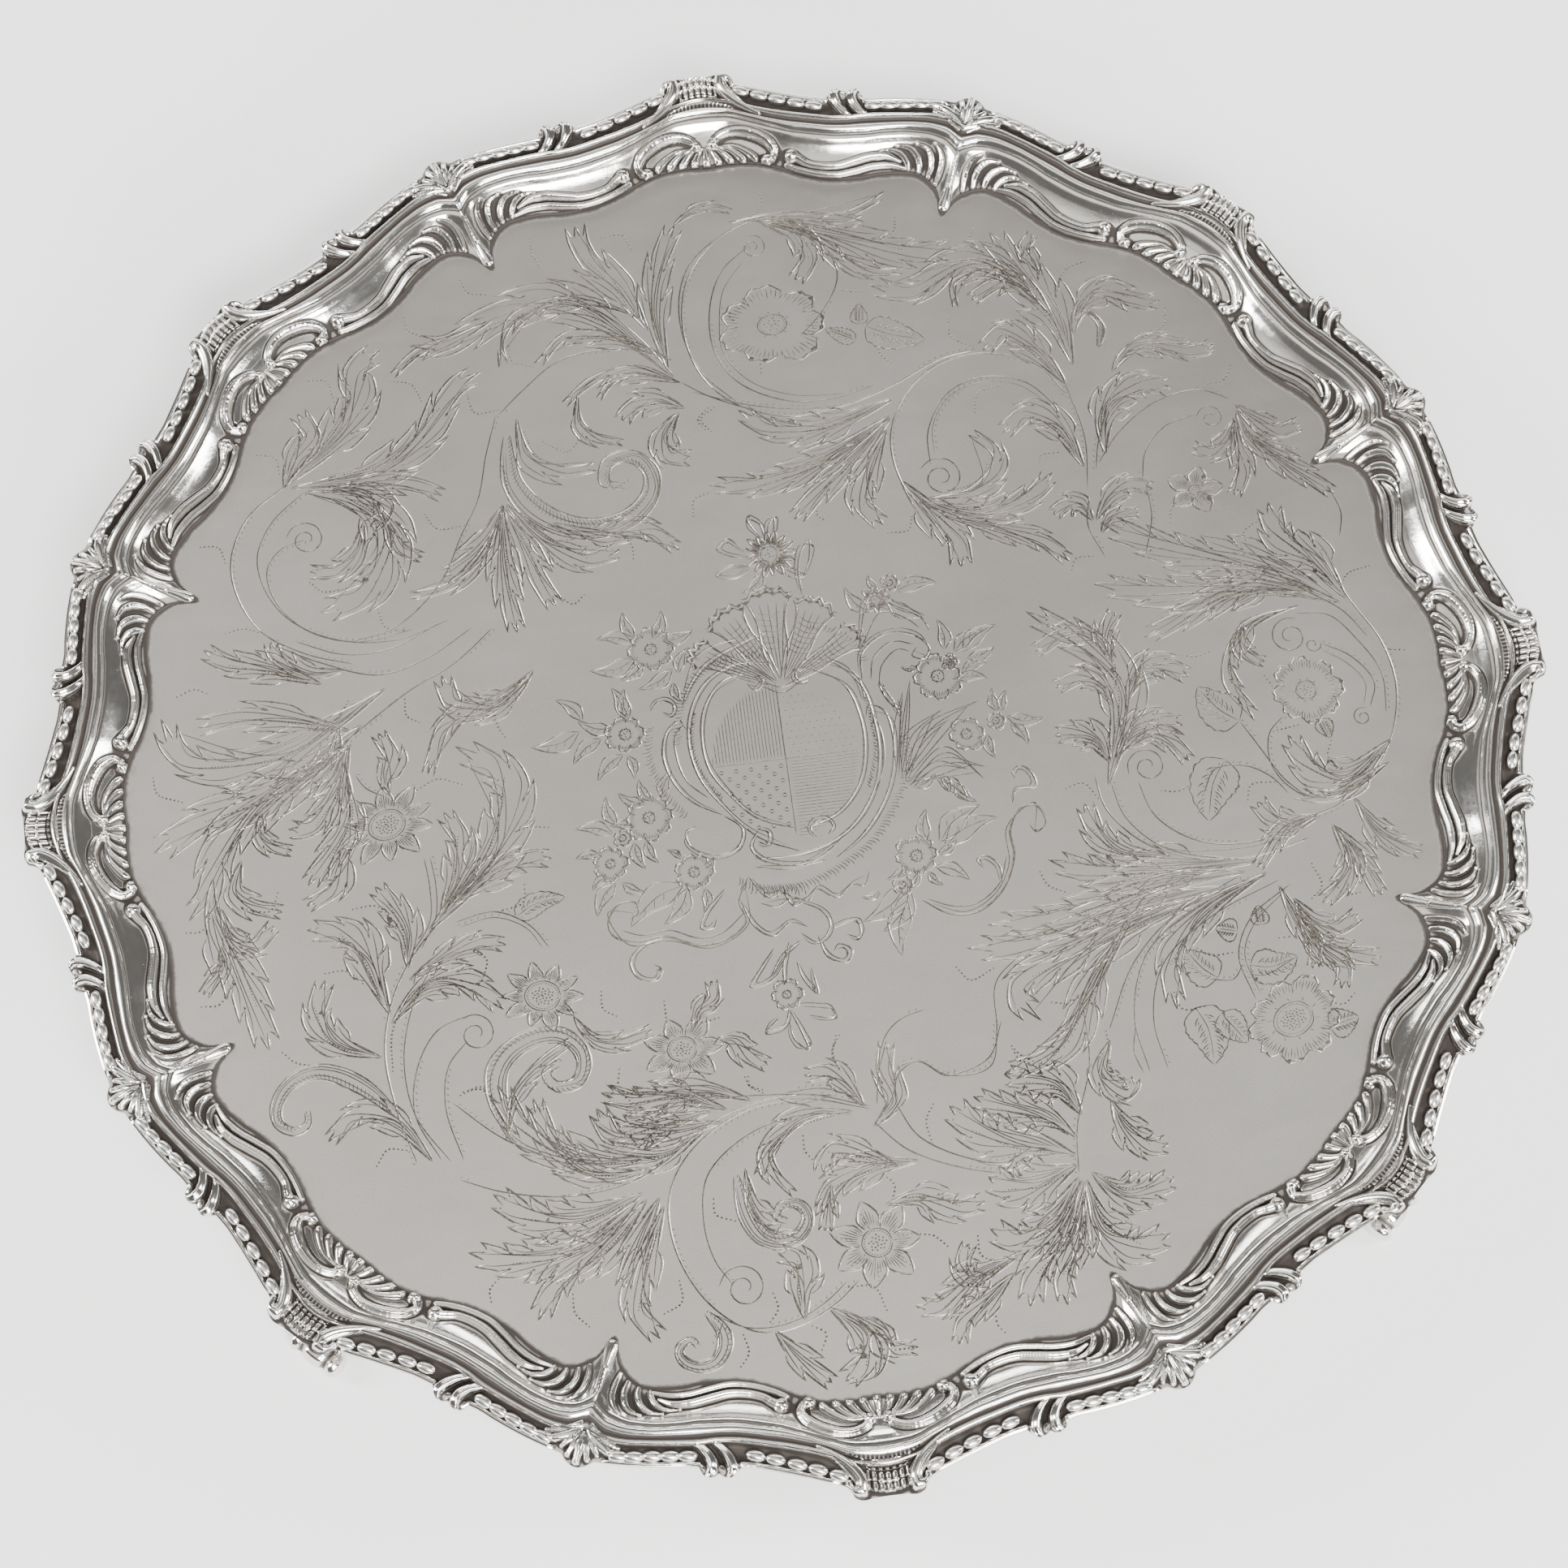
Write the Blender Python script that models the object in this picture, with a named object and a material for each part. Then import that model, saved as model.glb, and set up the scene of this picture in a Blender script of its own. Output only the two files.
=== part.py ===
"""Silver salver: an engraved flat plate, a border of cast sections with applied mounts, and four scroll feet.

The origin is on the surface that the feet stand on, under the centre of the plate. +Z is up, and a corner
fan lies on +Y. Angles are in degrees, clockwise from +Y as seen from above.
"""

import math

import bmesh
import bpy
from mathutils import Vector
from mathutils.bvhtree import BVHTree

MM = 0.001

# Overall sizes
SPAN = 509.5 * MM  # across two opposite corner fans
BAYS = 8
FOOT_COUNT = 4
STANDING_HEIGHT = 33.9 * MM  # from the surface below to the underside of the plate

# Sheet and joints
PLATE_THICKNESS = 1.6 * MM
SECTION_WALL = 1.7 * MM
SOLDER_GAP = 0.35 * MM  # between any two pieces that are soldered together
PLATE_LAP = 5.0 * MM  # how far the plate runs under the border
SEAT_REACH = 1.0 * MM  # a mount clears whatever stands this near to each of its corners

# Heights of the border above the plate's top
BORDER_FOOT = 1.4 * MM
HOLLOW_TOP = 7.6 * MM
INNER_RIDGE = 9.4 * MM
LIP_RIDGE = 10.0 * MM
CHANNEL_FLOOR = 7.4 * MM
FLANGE_TOP = 8.4 * MM
SHELF = 7.8 * MM  # the plain seat for the corner fan and the leaf at the mitre
KNOT_TOP = 10.2 * MM
VOLUTE_TOP = 12.1 * MM
HOLLOW_CURVE = 1.7  # 1 is a plain bevel; more makes the hollow deeper

# Reliefs of the mounts above their seats
MOUNT_EDGE = 0.9 * MM
SHELL_RELIEF = 2.6 * MM
SCROLL_RELIEF = 2.6 * MM
SPUR_RELIEF = 2.4 * MM

# Lines of the border over half a bay: (angle from the corner's axis, distance in from the fans' edge in mm)
OUTER_EDGE = (
    (0, 4.4), (2.8, 4.6), (5, 7.4), (8, 10.4), (10.6, 11.4), (11.3, 7.8), (13.0, 7.4),
    (13.8, 10.5), (16, 9.1), (19, 7.4), (22.5, 6.3),
)
CHANNEL_LINE = ((0, 9.5), (3.5, 10.2), (6.5, 13.0), (11, 15.8), (14.6, 13.2), (18.5, 10.4), (22.5, 9.5))
LIP_LINE = ((0, 13.4), (4, 15.4), (8, 18.8), (12, 19.6), (16, 16.5), (20, 14.0), (22.5, 14.6))
RIDGE_LINE = ((0, 15.8), (4, 18.5), (8, 22.4), (11, 23.0), (16, 20.4), (20, 17.9), (22.5, 22.4))
HOLLOW_LINE = ((0, 18.0), (4, 20.4), (8, 24.8), (11, 25.5), (16, 22.4), (20, 20.1), (22.5, 24.4))
INNER_EDGE = ((0, 33.8), (3, 33.0), (8, 37.6), (11.2, 39.9), (15, 37.4), (18.8, 34.0), (22.5, 38.9))
STATIONS = (0, 2.8, 4.5, 6.5, 8.5, 10.6, 11.3, 13.0, 13.8, 16, 18, 20, 21.2)
FAN_SEAT_ENDS = 3.4  # the moulding starts here and is at full height after SEAT_SLOPE
LEAF_SEAT_STARTS = 20.4
SEAT_SLOPE = 1.0
KNOT_SPAN = (11.0, 13.4)

# Plans of the mounts: (angle, distances in from the fans' edge in mm, outermost row first)
FAN_ROWS = (
    (-3.3, (8.0, 9.2, 10.4, 11.6)),
    (-2.7, (2.8, 6.0, 9.3, 13.2)),
    (-1.85, (0.0, 4.6, 9.2, 14.2)),
    (-1.0, (0.9, 5.6, 10.0, 14.8)),
    (0.0, (0.8, 5.4, 10.2, 15.0)),
)
SHELL_ROWS = (
    (-6.0, (29.5, 31.0, 32.6)),
    (-4.6, (24.6, 29.0, 32.8)),
    (-3.0, (22.4, 27.4, 32.2)),
    (-1.5, (23.2, 27.8, 32.2)),
    (0.0, (26.0, 29.4, 32.4)),
)
SCROLL_ROWS = (
    (6.85, (30.8, 32.4, 34.0)),
    (7.6, (29.2, 32.3, 35.4)),
    (8.5, (30.9, 33.5, 36.3)),
    (10.0, (34.4, 36.3, 38.3)),
    (12.0, (34.2, 36.4, 38.9)),
    (13.5, (31.9, 34.5, 37.4)),
    (15.0, (28.9, 31.9, 34.6)),
    (16.5, (28.2, 30.1, 31.9)),
    (17.5, (29.5, 30.3, 31.1)),
)
SPUR_ROWS = (
    (-3.0, (12.2, 15.8, 19.8, 26.0, 30.5)),
    (-1.9, (9.2, 15.2, 21.6, 28.5, 33.5)),
    (-1.0, (5.4, 13.8, 23.2, 37.2, 40.5)),
    (-0.5, (4.0, 13.4, 24.2, 38.0, 44.5)),
    (0.0, (3.4, 13.0, 25.0, 38.8, 47.2)),
)

# Scroll foot: (distance in from the fans' edge, share of the leg's drop, width, thickness), in mm
LEG_SECTIONS = (
    (52.0, 0.0, 24.0, 3.0),
    (43.0, 0.0, 25.0, 3.0),
    (31.0, 0.05, 21.0, 4.0),
    (22.0, 0.23, 16.0, 4.6),
    (17.6, 0.48, 12.0, 4.4),
    (15.6, 0.72, 11.0, 4.0),
    (10.4, 0.92, 13.5, 3.8),
    (5.4, 1.0, 15.5, 3.6),
)
TOE_WIDTH = 20.4 * MM
TOE_PROFILE = (
    (0.0, 2.2), (0.05, 3.5), (0.13, 4.5), (0.21, 3.9), (0.28, 3.2), (0.38, 4.3), (0.5, 4.5),
)  # (share of the toe's width, radius in mm) from one end to the middle
TOE_FLAT = 0.6 * MM  # worn off the underside of the toe
TOE_SIDES = 12

REACH = SPAN / 2
HALF_BAY = 180 / BAYS
PLATE_TOP = STANDING_HEIGHT + PLATE_THICKNESS


def line_at(points, angle):
    """Radius of a border line at an angle from its corner's axis, smooth through the line's points."""
    at = min(abs(angle) * 22.5 / HALF_BAY, points[-1][0])
    xs = [x for x, _ in points]
    ys = [y for _, y in points]
    k = max(i for i in range(len(xs) - 1) if xs[i] <= at)
    slopes = [(ys[i + 1] - ys[i]) / (xs[i + 1] - xs[i]) for i in range(len(xs) - 1)]

    def tangent(i):
        if i in (0, len(slopes)) or slopes[i - 1] * slopes[i] <= 0:
            return 0.0
        return 2 * slopes[i - 1] * slopes[i] / (slopes[i - 1] + slopes[i])

    step = xs[k + 1] - xs[k]
    t = (at - xs[k]) / step
    inset = (
        ys[k] * (1 + 2 * t) * (1 - t) ** 2
        + ys[k + 1] * (3 - 2 * t) * t * t
        + step * tangent(k) * t * (1 - t) ** 2
        - step * tangent(k + 1) * t * t * (1 - t)
    )
    return REACH - inset * MM


def polar(radius, angle, height=0.0):
    a = math.radians(angle)
    return Vector((radius * math.sin(a), radius * math.cos(a), height))


def silver(name, color, roughness):
    material = bpy.data.materials.new(name)
    material.use_nodes = True
    surface = material.node_tree.nodes["Principled BSDF"]
    surface.inputs["Base Color"].default_value = (*color, 1)
    surface.inputs["Metallic"].default_value = 1.0
    surface.inputs["Roughness"].default_value = roughness
    return material


def mesh_from(name, points, faces, material):
    """A triangulated mesh with outward faces, smooth except at its edges."""
    bm = bmesh.new()
    corners = [bm.verts.new(p) for p in points]
    for face in faces:
        bm.faces.new([corners[i] for i in face])
    bmesh.ops.triangulate(bm, faces=bm.faces[:])
    bmesh.ops.recalc_face_normals(bm, faces=bm.faces[:])
    mesh = bpy.data.meshes.new(name)
    bm.to_mesh(mesh)
    bm.free()
    mesh.materials.append(material)
    mesh.shade_smooth()
    mesh.set_sharp_from_angle(angle=math.radians(40))
    return mesh


def place(name, mesh, angle, height):
    piece = bpy.data.objects.new(name, mesh)
    piece.location.z = height
    piece.rotation_euler.z = -math.radians(angle)
    bpy.context.scene.collection.objects.link(piece)
    return piece


def loft(name, rings, material):
    """A closed solid through rings of equal length, with the first and last ring as its ends."""
    count = len(rings[0])
    points = [p for ring in rings for p in ring]
    faces = [tuple(range(count)), tuple(reversed(range(len(points) - count, len(points))))]
    for r in range(len(rings) - 1):
        for i in range(count):
            j = (i + 1) % count
            a, b = r * count, (r + 1) * count
            faces.append((a + i, b + i, b + j, a + j))
    return mesh_from(name, points, faces, material)


def plate_mesh(material):
    half = STATIONS + (HALF_BAY * 0.98,)
    angles = [s for s in half] + [2 * HALF_BAY - s for s in reversed(half[1:])]
    outline = [
        (bay * 2 * HALF_BAY + a, line_at(INNER_EDGE, min(a, 2 * HALF_BAY - a)) + PLATE_LAP)
        for bay in range(BAYS)
        for a in angles
    ]
    rings = [[polar(r, a, z) for a, r in outline] for z in (-PLATE_THICKNESS, 0.0)]
    return loft("centre_plate", rings, material)


def fade(angle):
    """1 where the border shows its full moulding, 0 at the seats of the fan and of the leaf."""
    a = abs(angle)
    rise = min(max((a - FAN_SEAT_ENDS) / SEAT_SLOPE, 0.0), 1.0)
    fall = min(max((LEAF_SEAT_STARTS - a) / SEAT_SLOPE, 0.0), 1.0)
    return rise * fall


def knot(angle):
    return 1.0 if KNOT_SPAN[0] <= abs(angle) <= KNOT_SPAN[1] else 0.0


def section_ring(angle):
    """One cross-section of the border, outer edge first along the top and back along the underside."""
    shown, tied = fade(angle), knot(angle)
    edge = line_at(OUTER_EDGE, angle)
    channel = line_at(CHANNEL_LINE, angle)
    lip = line_at(LIP_LINE, angle)
    ridge = line_at(RIDGE_LINE, angle)
    hollow = line_at(HOLLOW_LINE, angle)
    inner = line_at(INNER_EDGE, angle)

    def moulded(height):
        height += tied * max(KNOT_TOP - height, 0.0)
        return SHELF + shown * (height - SHELF)

    def hollow_height(share):
        return BORDER_FOOT + (HOLLOW_TOP - BORDER_FOOT) * (1 - share) ** HOLLOW_CURVE

    top = [
        (edge, moulded(FLANGE_TOP)),
        (channel, moulded(CHANNEL_FLOOR)),
        (lip, moulded(LIP_RIDGE)),
        (ridge, moulded(INNER_RIDGE)),
        (hollow, HOLLOW_TOP),
        (hollow + (inner - hollow) * 0.4, hollow_height(0.4)),
        (hollow + (inner - hollow) * 0.7, hollow_height(0.7)),
        (inner, BORDER_FOOT),
    ]
    under = [
        (inner, SOLDER_GAP),
        (inner + PLATE_LAP, SOLDER_GAP),
        (hollow, HOLLOW_TOP - SECTION_WALL * 1.3),
        (edge, min(moulded(FLANGE_TOP), moulded(CHANNEL_FLOOR)) - SECTION_WALL),
    ]
    return [polar(r, angle, z) for r, z in top + under]


def section_mesh(material):
    mitre = HALF_BAY - math.degrees(0.5 * SOLDER_GAP / line_at(INNER_EDGE, HALF_BAY))
    half = STATIONS + (mitre,)
    angles = [-a for a in reversed(half[1:])] + list(half)
    return loft("rim_section", [section_ring(a) for a in angles], material)


def seat_finder(meshes):
    """A function that gives the greatest height of the pieces below and close to any point of the border."""
    points, faces = [], []
    for mesh in meshes:
        first = len(points)
        points += [v.co.copy() for v in mesh.vertices]
        faces += [[first + i for i in p.vertices] for p in mesh.polygons]
    tree = BVHTree.FromPolygons(points, faces)
    above = VOLUTE_TOP * 3

    def height(radius, angle):
        angle -= 2 * HALF_BAY * round(angle / (2 * HALF_BAY))
        angle = max(min(angle, HALF_BAY - 0.1), -HALF_BAY + 0.1)
        hit = tree.ray_cast(polar(radius, angle, above), Vector((0, 0, -1)), above * 2)[0]
        return hit.z if hit else SHELF  # past the border's edge a mount runs on level

    def seat(radius, angle):
        around = math.degrees(SEAT_REACH / radius)
        near = [(0, 0), (SEAT_REACH, 0), (-SEAT_REACH, 0), (0, around), (0, -around)]
        return max(height(radius + r, angle + a) for r, a in near)

    return seat


def mount_mesh(name, columns, centre, relief, seat, material, mirror=1):
    """A mount lying on its seat. relief(across, along) is its height above the seat, from shares 0 to 1."""
    rows = len(columns[0][1])
    low, high = [], []
    for c, (offset, insets) in enumerate(columns):
        angle = centre + mirror * offset * HALF_BAY / 22.5
        for r, inset in enumerate(insets):
            radius = REACH - inset * MM
            base = seat(radius, angle) + SOLDER_GAP
            low.append(polar(radius, angle, base))
            high.append(polar(radius, angle, base + relief(c / (len(columns) - 1), r / (rows - 1))))
    count = len(low)
    faces = []
    for c in range(len(columns) - 1):
        for r in range(rows - 1):
            a, b = c * rows + r, (c + 1) * rows + r
            faces.append((a, b, b + 1, a + 1))
            faces.append((count + a, count + a + 1, count + b + 1, count + b))
    rim = (
        [c * rows for c in range(len(columns))]
        + [(len(columns) - 1) * rows + r for r in range(1, rows)]
        + [c * rows + rows - 1 for c in range(len(columns) - 2, -1, -1)]
        + list(range(rows - 2, 0, -1))
    )
    for i, a in enumerate(rim):
        b = rim[(i + 1) % len(rim)]
        faces.append((a, b, count + b, count + a))
    return mesh_from(name, low + high, faces, material)


def both_sides(columns):
    """Columns of a half plan and of its mirror image, as one plan."""
    return columns + tuple((-angle, insets) for angle, insets in reversed(columns[:-1]))


def bump(share):
    """0 at both ends of a share from 0 to 1, and 1 in the middle."""
    return math.sin(math.pi * share)


def fan_relief(across, along):
    side = abs(2 * across - 1)
    head = math.exp(-(((side - 0.55) / 0.3) ** 2)) * (1 - along) ** 0.5
    steps = 0.35 + 0.45 * round(3 * (1 - along)) / 3
    full = VOLUTE_TOP - SHELF - SOLDER_GAP
    return MOUNT_EDGE + (full - MOUNT_EDGE) * max(head, steps * (1 - side))


def shell_relief(across, along):
    side = abs(2 * across - 1)
    frame = bump(min(side * 1.1, 1.0)) * (1 - along)
    rib = 0.5 + 0.2 * math.cos(12 * math.pi * across)
    return MOUNT_EDGE + (SHELL_RELIEF - MOUNT_EDGE) * max(frame, rib * bump(0.2 + 0.6 * along) * (1 - side**2))


def scroll_relief(across, along):
    head = math.exp(-((across / 0.16) ** 2))
    return MOUNT_EDGE + (SCROLL_RELIEF - MOUNT_EDGE) * bump(along) * (0.6 + 0.4 * head) * (1 - 0.5 * across)


def spur_relief(across, along):
    side = abs(2 * across - 1)
    return MOUNT_EDGE + (SPUR_RELIEF - MOUNT_EDGE) * (1 - side) * (1 - 0.5 * along)


def leg_ring(inset, drop, width, thickness, tilt):
    """An eight-sided cross-section of the leg, square to its path, which falls from level by an angle."""
    hw, ht = width / 2, thickness / 2
    bevel = 0.35 * ht
    flat = [
        (-hw, -ht + bevel), (-hw + bevel, -ht), (hw - bevel, -ht), (hw, -ht + bevel),
        (hw, ht - bevel), (hw - bevel, ht), (-hw + bevel, ht), (-hw, ht - bevel),
    ]
    out = Vector((0, math.sin(tilt), math.cos(tilt)))
    centre = Vector((0, REACH - inset * MM, -drop * MM))
    return [centre + MM * (x * Vector((1, 0, 0)) + y * out) for x, y in flat]


def foot_mesh(material):
    """The leg and the rolled toe with a knob at each end, joined, with the toe's underside worn flat.

    Heights here are from the underside of the plate, which the leg hangs from.
    """
    start = SOLDER_GAP / MM + LEG_SECTIONS[0][3] / 2
    toe_drop = (STANDING_HEIGHT + TOE_FLAT) / MM - max(radius for _, radius in TOE_PROFILE)
    path = [(inset, start + (toe_drop - start) * share, w, t) for inset, share, w, t in LEG_SECTIONS]
    rings = []
    for i, (inset, drop, width, thickness) in enumerate(path):
        before, after = path[max(i - 1, 0)], path[min(i + 1, len(path) - 1)]
        tilt = math.atan2(after[1] - before[1], before[0] - after[0])
        rings.append(leg_ring(inset, drop, width, thickness, tilt))
    leg = place("leg", loft("leg", rings, material), 0, 0)

    full = TOE_PROFILE + tuple((1 - share, radius) for share, radius in reversed(TOE_PROFILE[:-1]))
    toe_centre = Vector((0, REACH - path[-1][0] * MM, -path[-1][1] * MM))
    rings = []
    for share, radius in full:
        turn = [2 * math.pi * (i + 0.5) / TOE_SIDES for i in range(TOE_SIDES)]
        spot = toe_centre + Vector(((share - 0.5) * TOE_WIDTH, 0, 0))
        rings.append([spot + radius * MM * Vector((0, math.cos(t), math.sin(t))) for t in turn])
    toe = place("toe", loft("toe", rings, material), 0, 0)
    toe.hide_render = True
    toe.display_type = "WIRE"

    joined = leg.modifiers.new("toe", "BOOLEAN")
    joined.operation = "UNION"
    joined.object = toe
    bpy.context.view_layer.update()
    mesh = bpy.data.meshes.new_from_object(leg.evaluated_get(bpy.context.evaluated_depsgraph_get()))
    bpy.data.objects.remove(leg)
    bpy.data.objects.remove(toe)

    bm = bmesh.new()
    bm.from_mesh(mesh)
    cut = bmesh.ops.bisect_plane(
        bm,
        geom=bm.verts[:] + bm.edges[:] + bm.faces[:],
        plane_co=(0, 0, -STANDING_HEIGHT),
        plane_no=(0, 0, -1),
        clear_outer=True,
    )
    edges = [e for e in cut["geom_cut"] if isinstance(e, bmesh.types.BMEdge)]
    bmesh.ops.holes_fill(bm, edges=edges)
    bmesh.ops.triangulate(bm, faces=bm.faces[:])
    bmesh.ops.recalc_face_normals(bm, faces=bm.faces[:])
    bm.to_mesh(mesh)
    bm.free()
    mesh.shade_smooth()
    mesh.set_sharp_from_angle(angle=math.radians(40))
    return mesh


def main():
    for item in list(bpy.data.objects):
        bpy.data.objects.remove(item, do_unlink=True)

    plate_silver = silver("plate_silver", (0.72, 0.70, 0.66), 0.38)
    border_silver = silver("border_silver", (0.80, 0.78, 0.74), 0.2)
    mount_silver = silver("mount_silver", (0.84, 0.82, 0.78), 0.16)
    foot_silver = silver("foot_silver", (0.76, 0.74, 0.70), 0.22)

    plate = plate_mesh(plate_silver)
    section = section_mesh(border_silver)
    seat = seat_finder([plate, section])

    fan = mount_mesh("corner_fan", both_sides(FAN_ROWS), 0, fan_relief, seat, mount_silver)
    shell = mount_mesh("shell_mount", both_sides(SHELL_ROWS), 0, shell_relief, seat, mount_silver)
    right = mount_mesh("scroll_right", SCROLL_ROWS, 0, scroll_relief, seat, mount_silver)
    left = mount_mesh("scroll_left", SCROLL_ROWS, 0, scroll_relief, seat, mount_silver, mirror=-1)
    spur = mount_mesh("spur", both_sides(SPUR_ROWS), HALF_BAY, spur_relief, seat, mount_silver)

    place("centre_plate", plate, 0, PLATE_TOP)
    for bay in range(BAYS):
        turn, number = 2 * HALF_BAY * bay, bay + 1
        place(f"rim_section_{number}", section, turn, PLATE_TOP)
        place(f"corner_fan_{number}", fan, turn, PLATE_TOP)
        place(f"shell_mount_{number}", shell, turn, PLATE_TOP)
        place(f"scroll_mount_left_{number}", left, turn, PLATE_TOP)
        place(f"scroll_mount_right_{number}", right, turn, PLATE_TOP)
        place(f"spur_mount_{number}", spur, turn, PLATE_TOP)

    foot = foot_mesh(foot_silver)
    for k in range(FOOT_COUNT):
        place(f"foot_{k + 1}", foot, (k + 0.5) * 360 / FOOT_COUNT, STANDING_HEIGHT)


main()
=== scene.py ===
import math

import bmesh
import bpy
import numpy as np
from mathutils import Matrix, Vector, geometry, kdtree


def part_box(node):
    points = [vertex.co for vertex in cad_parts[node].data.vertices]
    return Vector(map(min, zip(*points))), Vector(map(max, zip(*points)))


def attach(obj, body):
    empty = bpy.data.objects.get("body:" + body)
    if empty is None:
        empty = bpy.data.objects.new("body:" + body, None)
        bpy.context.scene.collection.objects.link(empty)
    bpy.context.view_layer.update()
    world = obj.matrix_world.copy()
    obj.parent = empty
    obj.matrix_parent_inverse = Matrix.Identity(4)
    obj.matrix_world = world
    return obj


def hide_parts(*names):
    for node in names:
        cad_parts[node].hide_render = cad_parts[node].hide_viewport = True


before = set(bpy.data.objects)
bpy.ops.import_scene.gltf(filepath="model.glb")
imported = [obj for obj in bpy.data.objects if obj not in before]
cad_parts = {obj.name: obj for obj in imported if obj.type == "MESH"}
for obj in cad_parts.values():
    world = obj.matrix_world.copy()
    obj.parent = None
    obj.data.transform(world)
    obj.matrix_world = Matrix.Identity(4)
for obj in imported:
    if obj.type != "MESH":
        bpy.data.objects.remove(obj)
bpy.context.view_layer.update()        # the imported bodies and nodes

mm = 0.001
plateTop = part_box("centre_plate")[1].z
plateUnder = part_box("centre_plate")[0].z
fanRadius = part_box("corner_fan_1")[1].y / 1.003  # the volutes stand a little proud of the fan's own edge
bayCount = 8
halfBay = 180 / bayCount
print("frame loaded, plate top at", round(plateTop / mm, 1), "mm")


# curves and plain geometry

def polarPoint(angle, share):
    # plan position in mm, angle in degrees clockwise from +Y, share of the fan radius
    a = np.radians(angle)
    r = np.asarray(share) * fanRadius / mm
    return np.stack([r * np.sin(a), r * np.cos(a)], -1)


def throughPoints(points, xs):
    # heights of a smooth curve through (x, y) points, without overshoot
    px = np.array([p[0] for p in points], float)
    py = np.array([p[1] for p in points], float)
    slope = np.diff(py) / np.diff(px)
    tangent = np.zeros(len(px))
    same = slope[:-1] * slope[1:] > 0
    tangent[1:-1][same] = (2 * slope[:-1] * slope[1:])[same] / (slope[:-1] + slope[1:])[same]
    xs = np.clip(xs, px[0], px[-1])
    k = np.clip(np.searchsorted(px, xs, side="right") - 1, 0, len(px) - 2)
    step = px[k + 1] - px[k]
    t = (xs - px[k]) / step
    return (
        py[k] * (1 + 2 * t) * (1 - t) ** 2
        + py[k + 1] * (3 - 2 * t) * t * t
        + step * tangent[k] * t * (1 - t) ** 2
        - step * tangent[k + 1] * t * t * (1 - t)
    )


def smoothPath(points, step):
    # a curve through rows of numbers (x and y in mm first), sampled about every step mm
    rows = np.array(points, float)
    chord = np.sqrt(np.linalg.norm(np.diff(rows[:, :2], axis=0), axis=1) + 1e-9)
    knots = np.concatenate([[0], np.cumsum(chord)])
    if len(rows) > 2:
        tangent = np.gradient(rows, knots, axis=0)
    else:
        tangent = np.repeat(np.diff(rows, axis=0) / knots[1], 2, 0)
    made = []
    for k in range(len(rows) - 1):
        span = knots[k + 1] - knots[k]
        count = max(2, int(np.linalg.norm(rows[k + 1, :2] - rows[k, :2]) / step) + 1)
        t = np.linspace(0, 1, count + 1)[:, None]
        if k < len(rows) - 2:
            t = t[:-1]
        made.append(
            rows[k] * (1 + 2 * t) * (1 - t) ** 2
            + rows[k + 1] * (3 - 2 * t) * t * t
            + span * tangent[k] * t * (1 - t) ** 2
            - span * tangent[k + 1] * t * t * (1 - t)
        )
    return np.concatenate(made)


def pathLength(points):
    return np.linalg.norm(np.diff(np.array(points, float), axis=0), axis=1).sum()


def tubeFaces(index):
    # quads round a tube, from a grid of point numbers with one ring to a row
    after = np.roll(index, -1, 1)
    return np.stack([index[:-1], after[:-1], after[1:], index[1:]], -1).reshape(-1, 4)


def meshFrom(name, points, faces, smoothAngle=40):
    # points in metres; faces as one array of quads, or a list of arrays with different corner counts
    blocks = faces if isinstance(faces, list) else [faces]
    blocks = [np.asarray(b, np.int32) for b in blocks if len(b)]
    loops = np.concatenate([b.ravel() for b in blocks])
    sizes = np.concatenate([np.full(len(b), b.shape[1], np.int32) for b in blocks])
    mesh = bpy.data.meshes.new(name)
    mesh.vertices.add(len(points))
    mesh.vertices.foreach_set("co", np.asarray(points, np.float32).ravel())
    mesh.loops.add(len(loops))
    mesh.loops.foreach_set("vertex_index", loops)
    mesh.polygons.add(len(sizes))
    mesh.polygons.foreach_set("loop_start", np.concatenate([[0], np.cumsum(sizes)[:-1]]).astype(np.int32))
    mesh.update(calc_edges=True)
    mesh.validate()
    if smoothAngle:
        mesh.shade_smooth()
        mesh.set_sharp_from_angle(angle=math.radians(smoothAngle))
    return mesh


def putPiece(name, mesh, material, nodes=()):
    piece = bpy.data.objects.new(name, mesh)
    bpy.context.scene.collection.objects.link(piece)
    mesh.materials.clear()
    mesh.materials.append(material)
    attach(piece, "root")
    if nodes:
        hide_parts(*nodes)
    return piece


def turned(points, angle):
    # points in metres, turned clockwise about the middle of the plate
    a = math.radians(angle)
    turn = np.array([[math.cos(a), -math.sin(a), 0], [math.sin(a), math.cos(a), 0], [0, 0, 1]])
    return points @ turn


# the border's relief, worked out once over half a bay and mirrored

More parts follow.
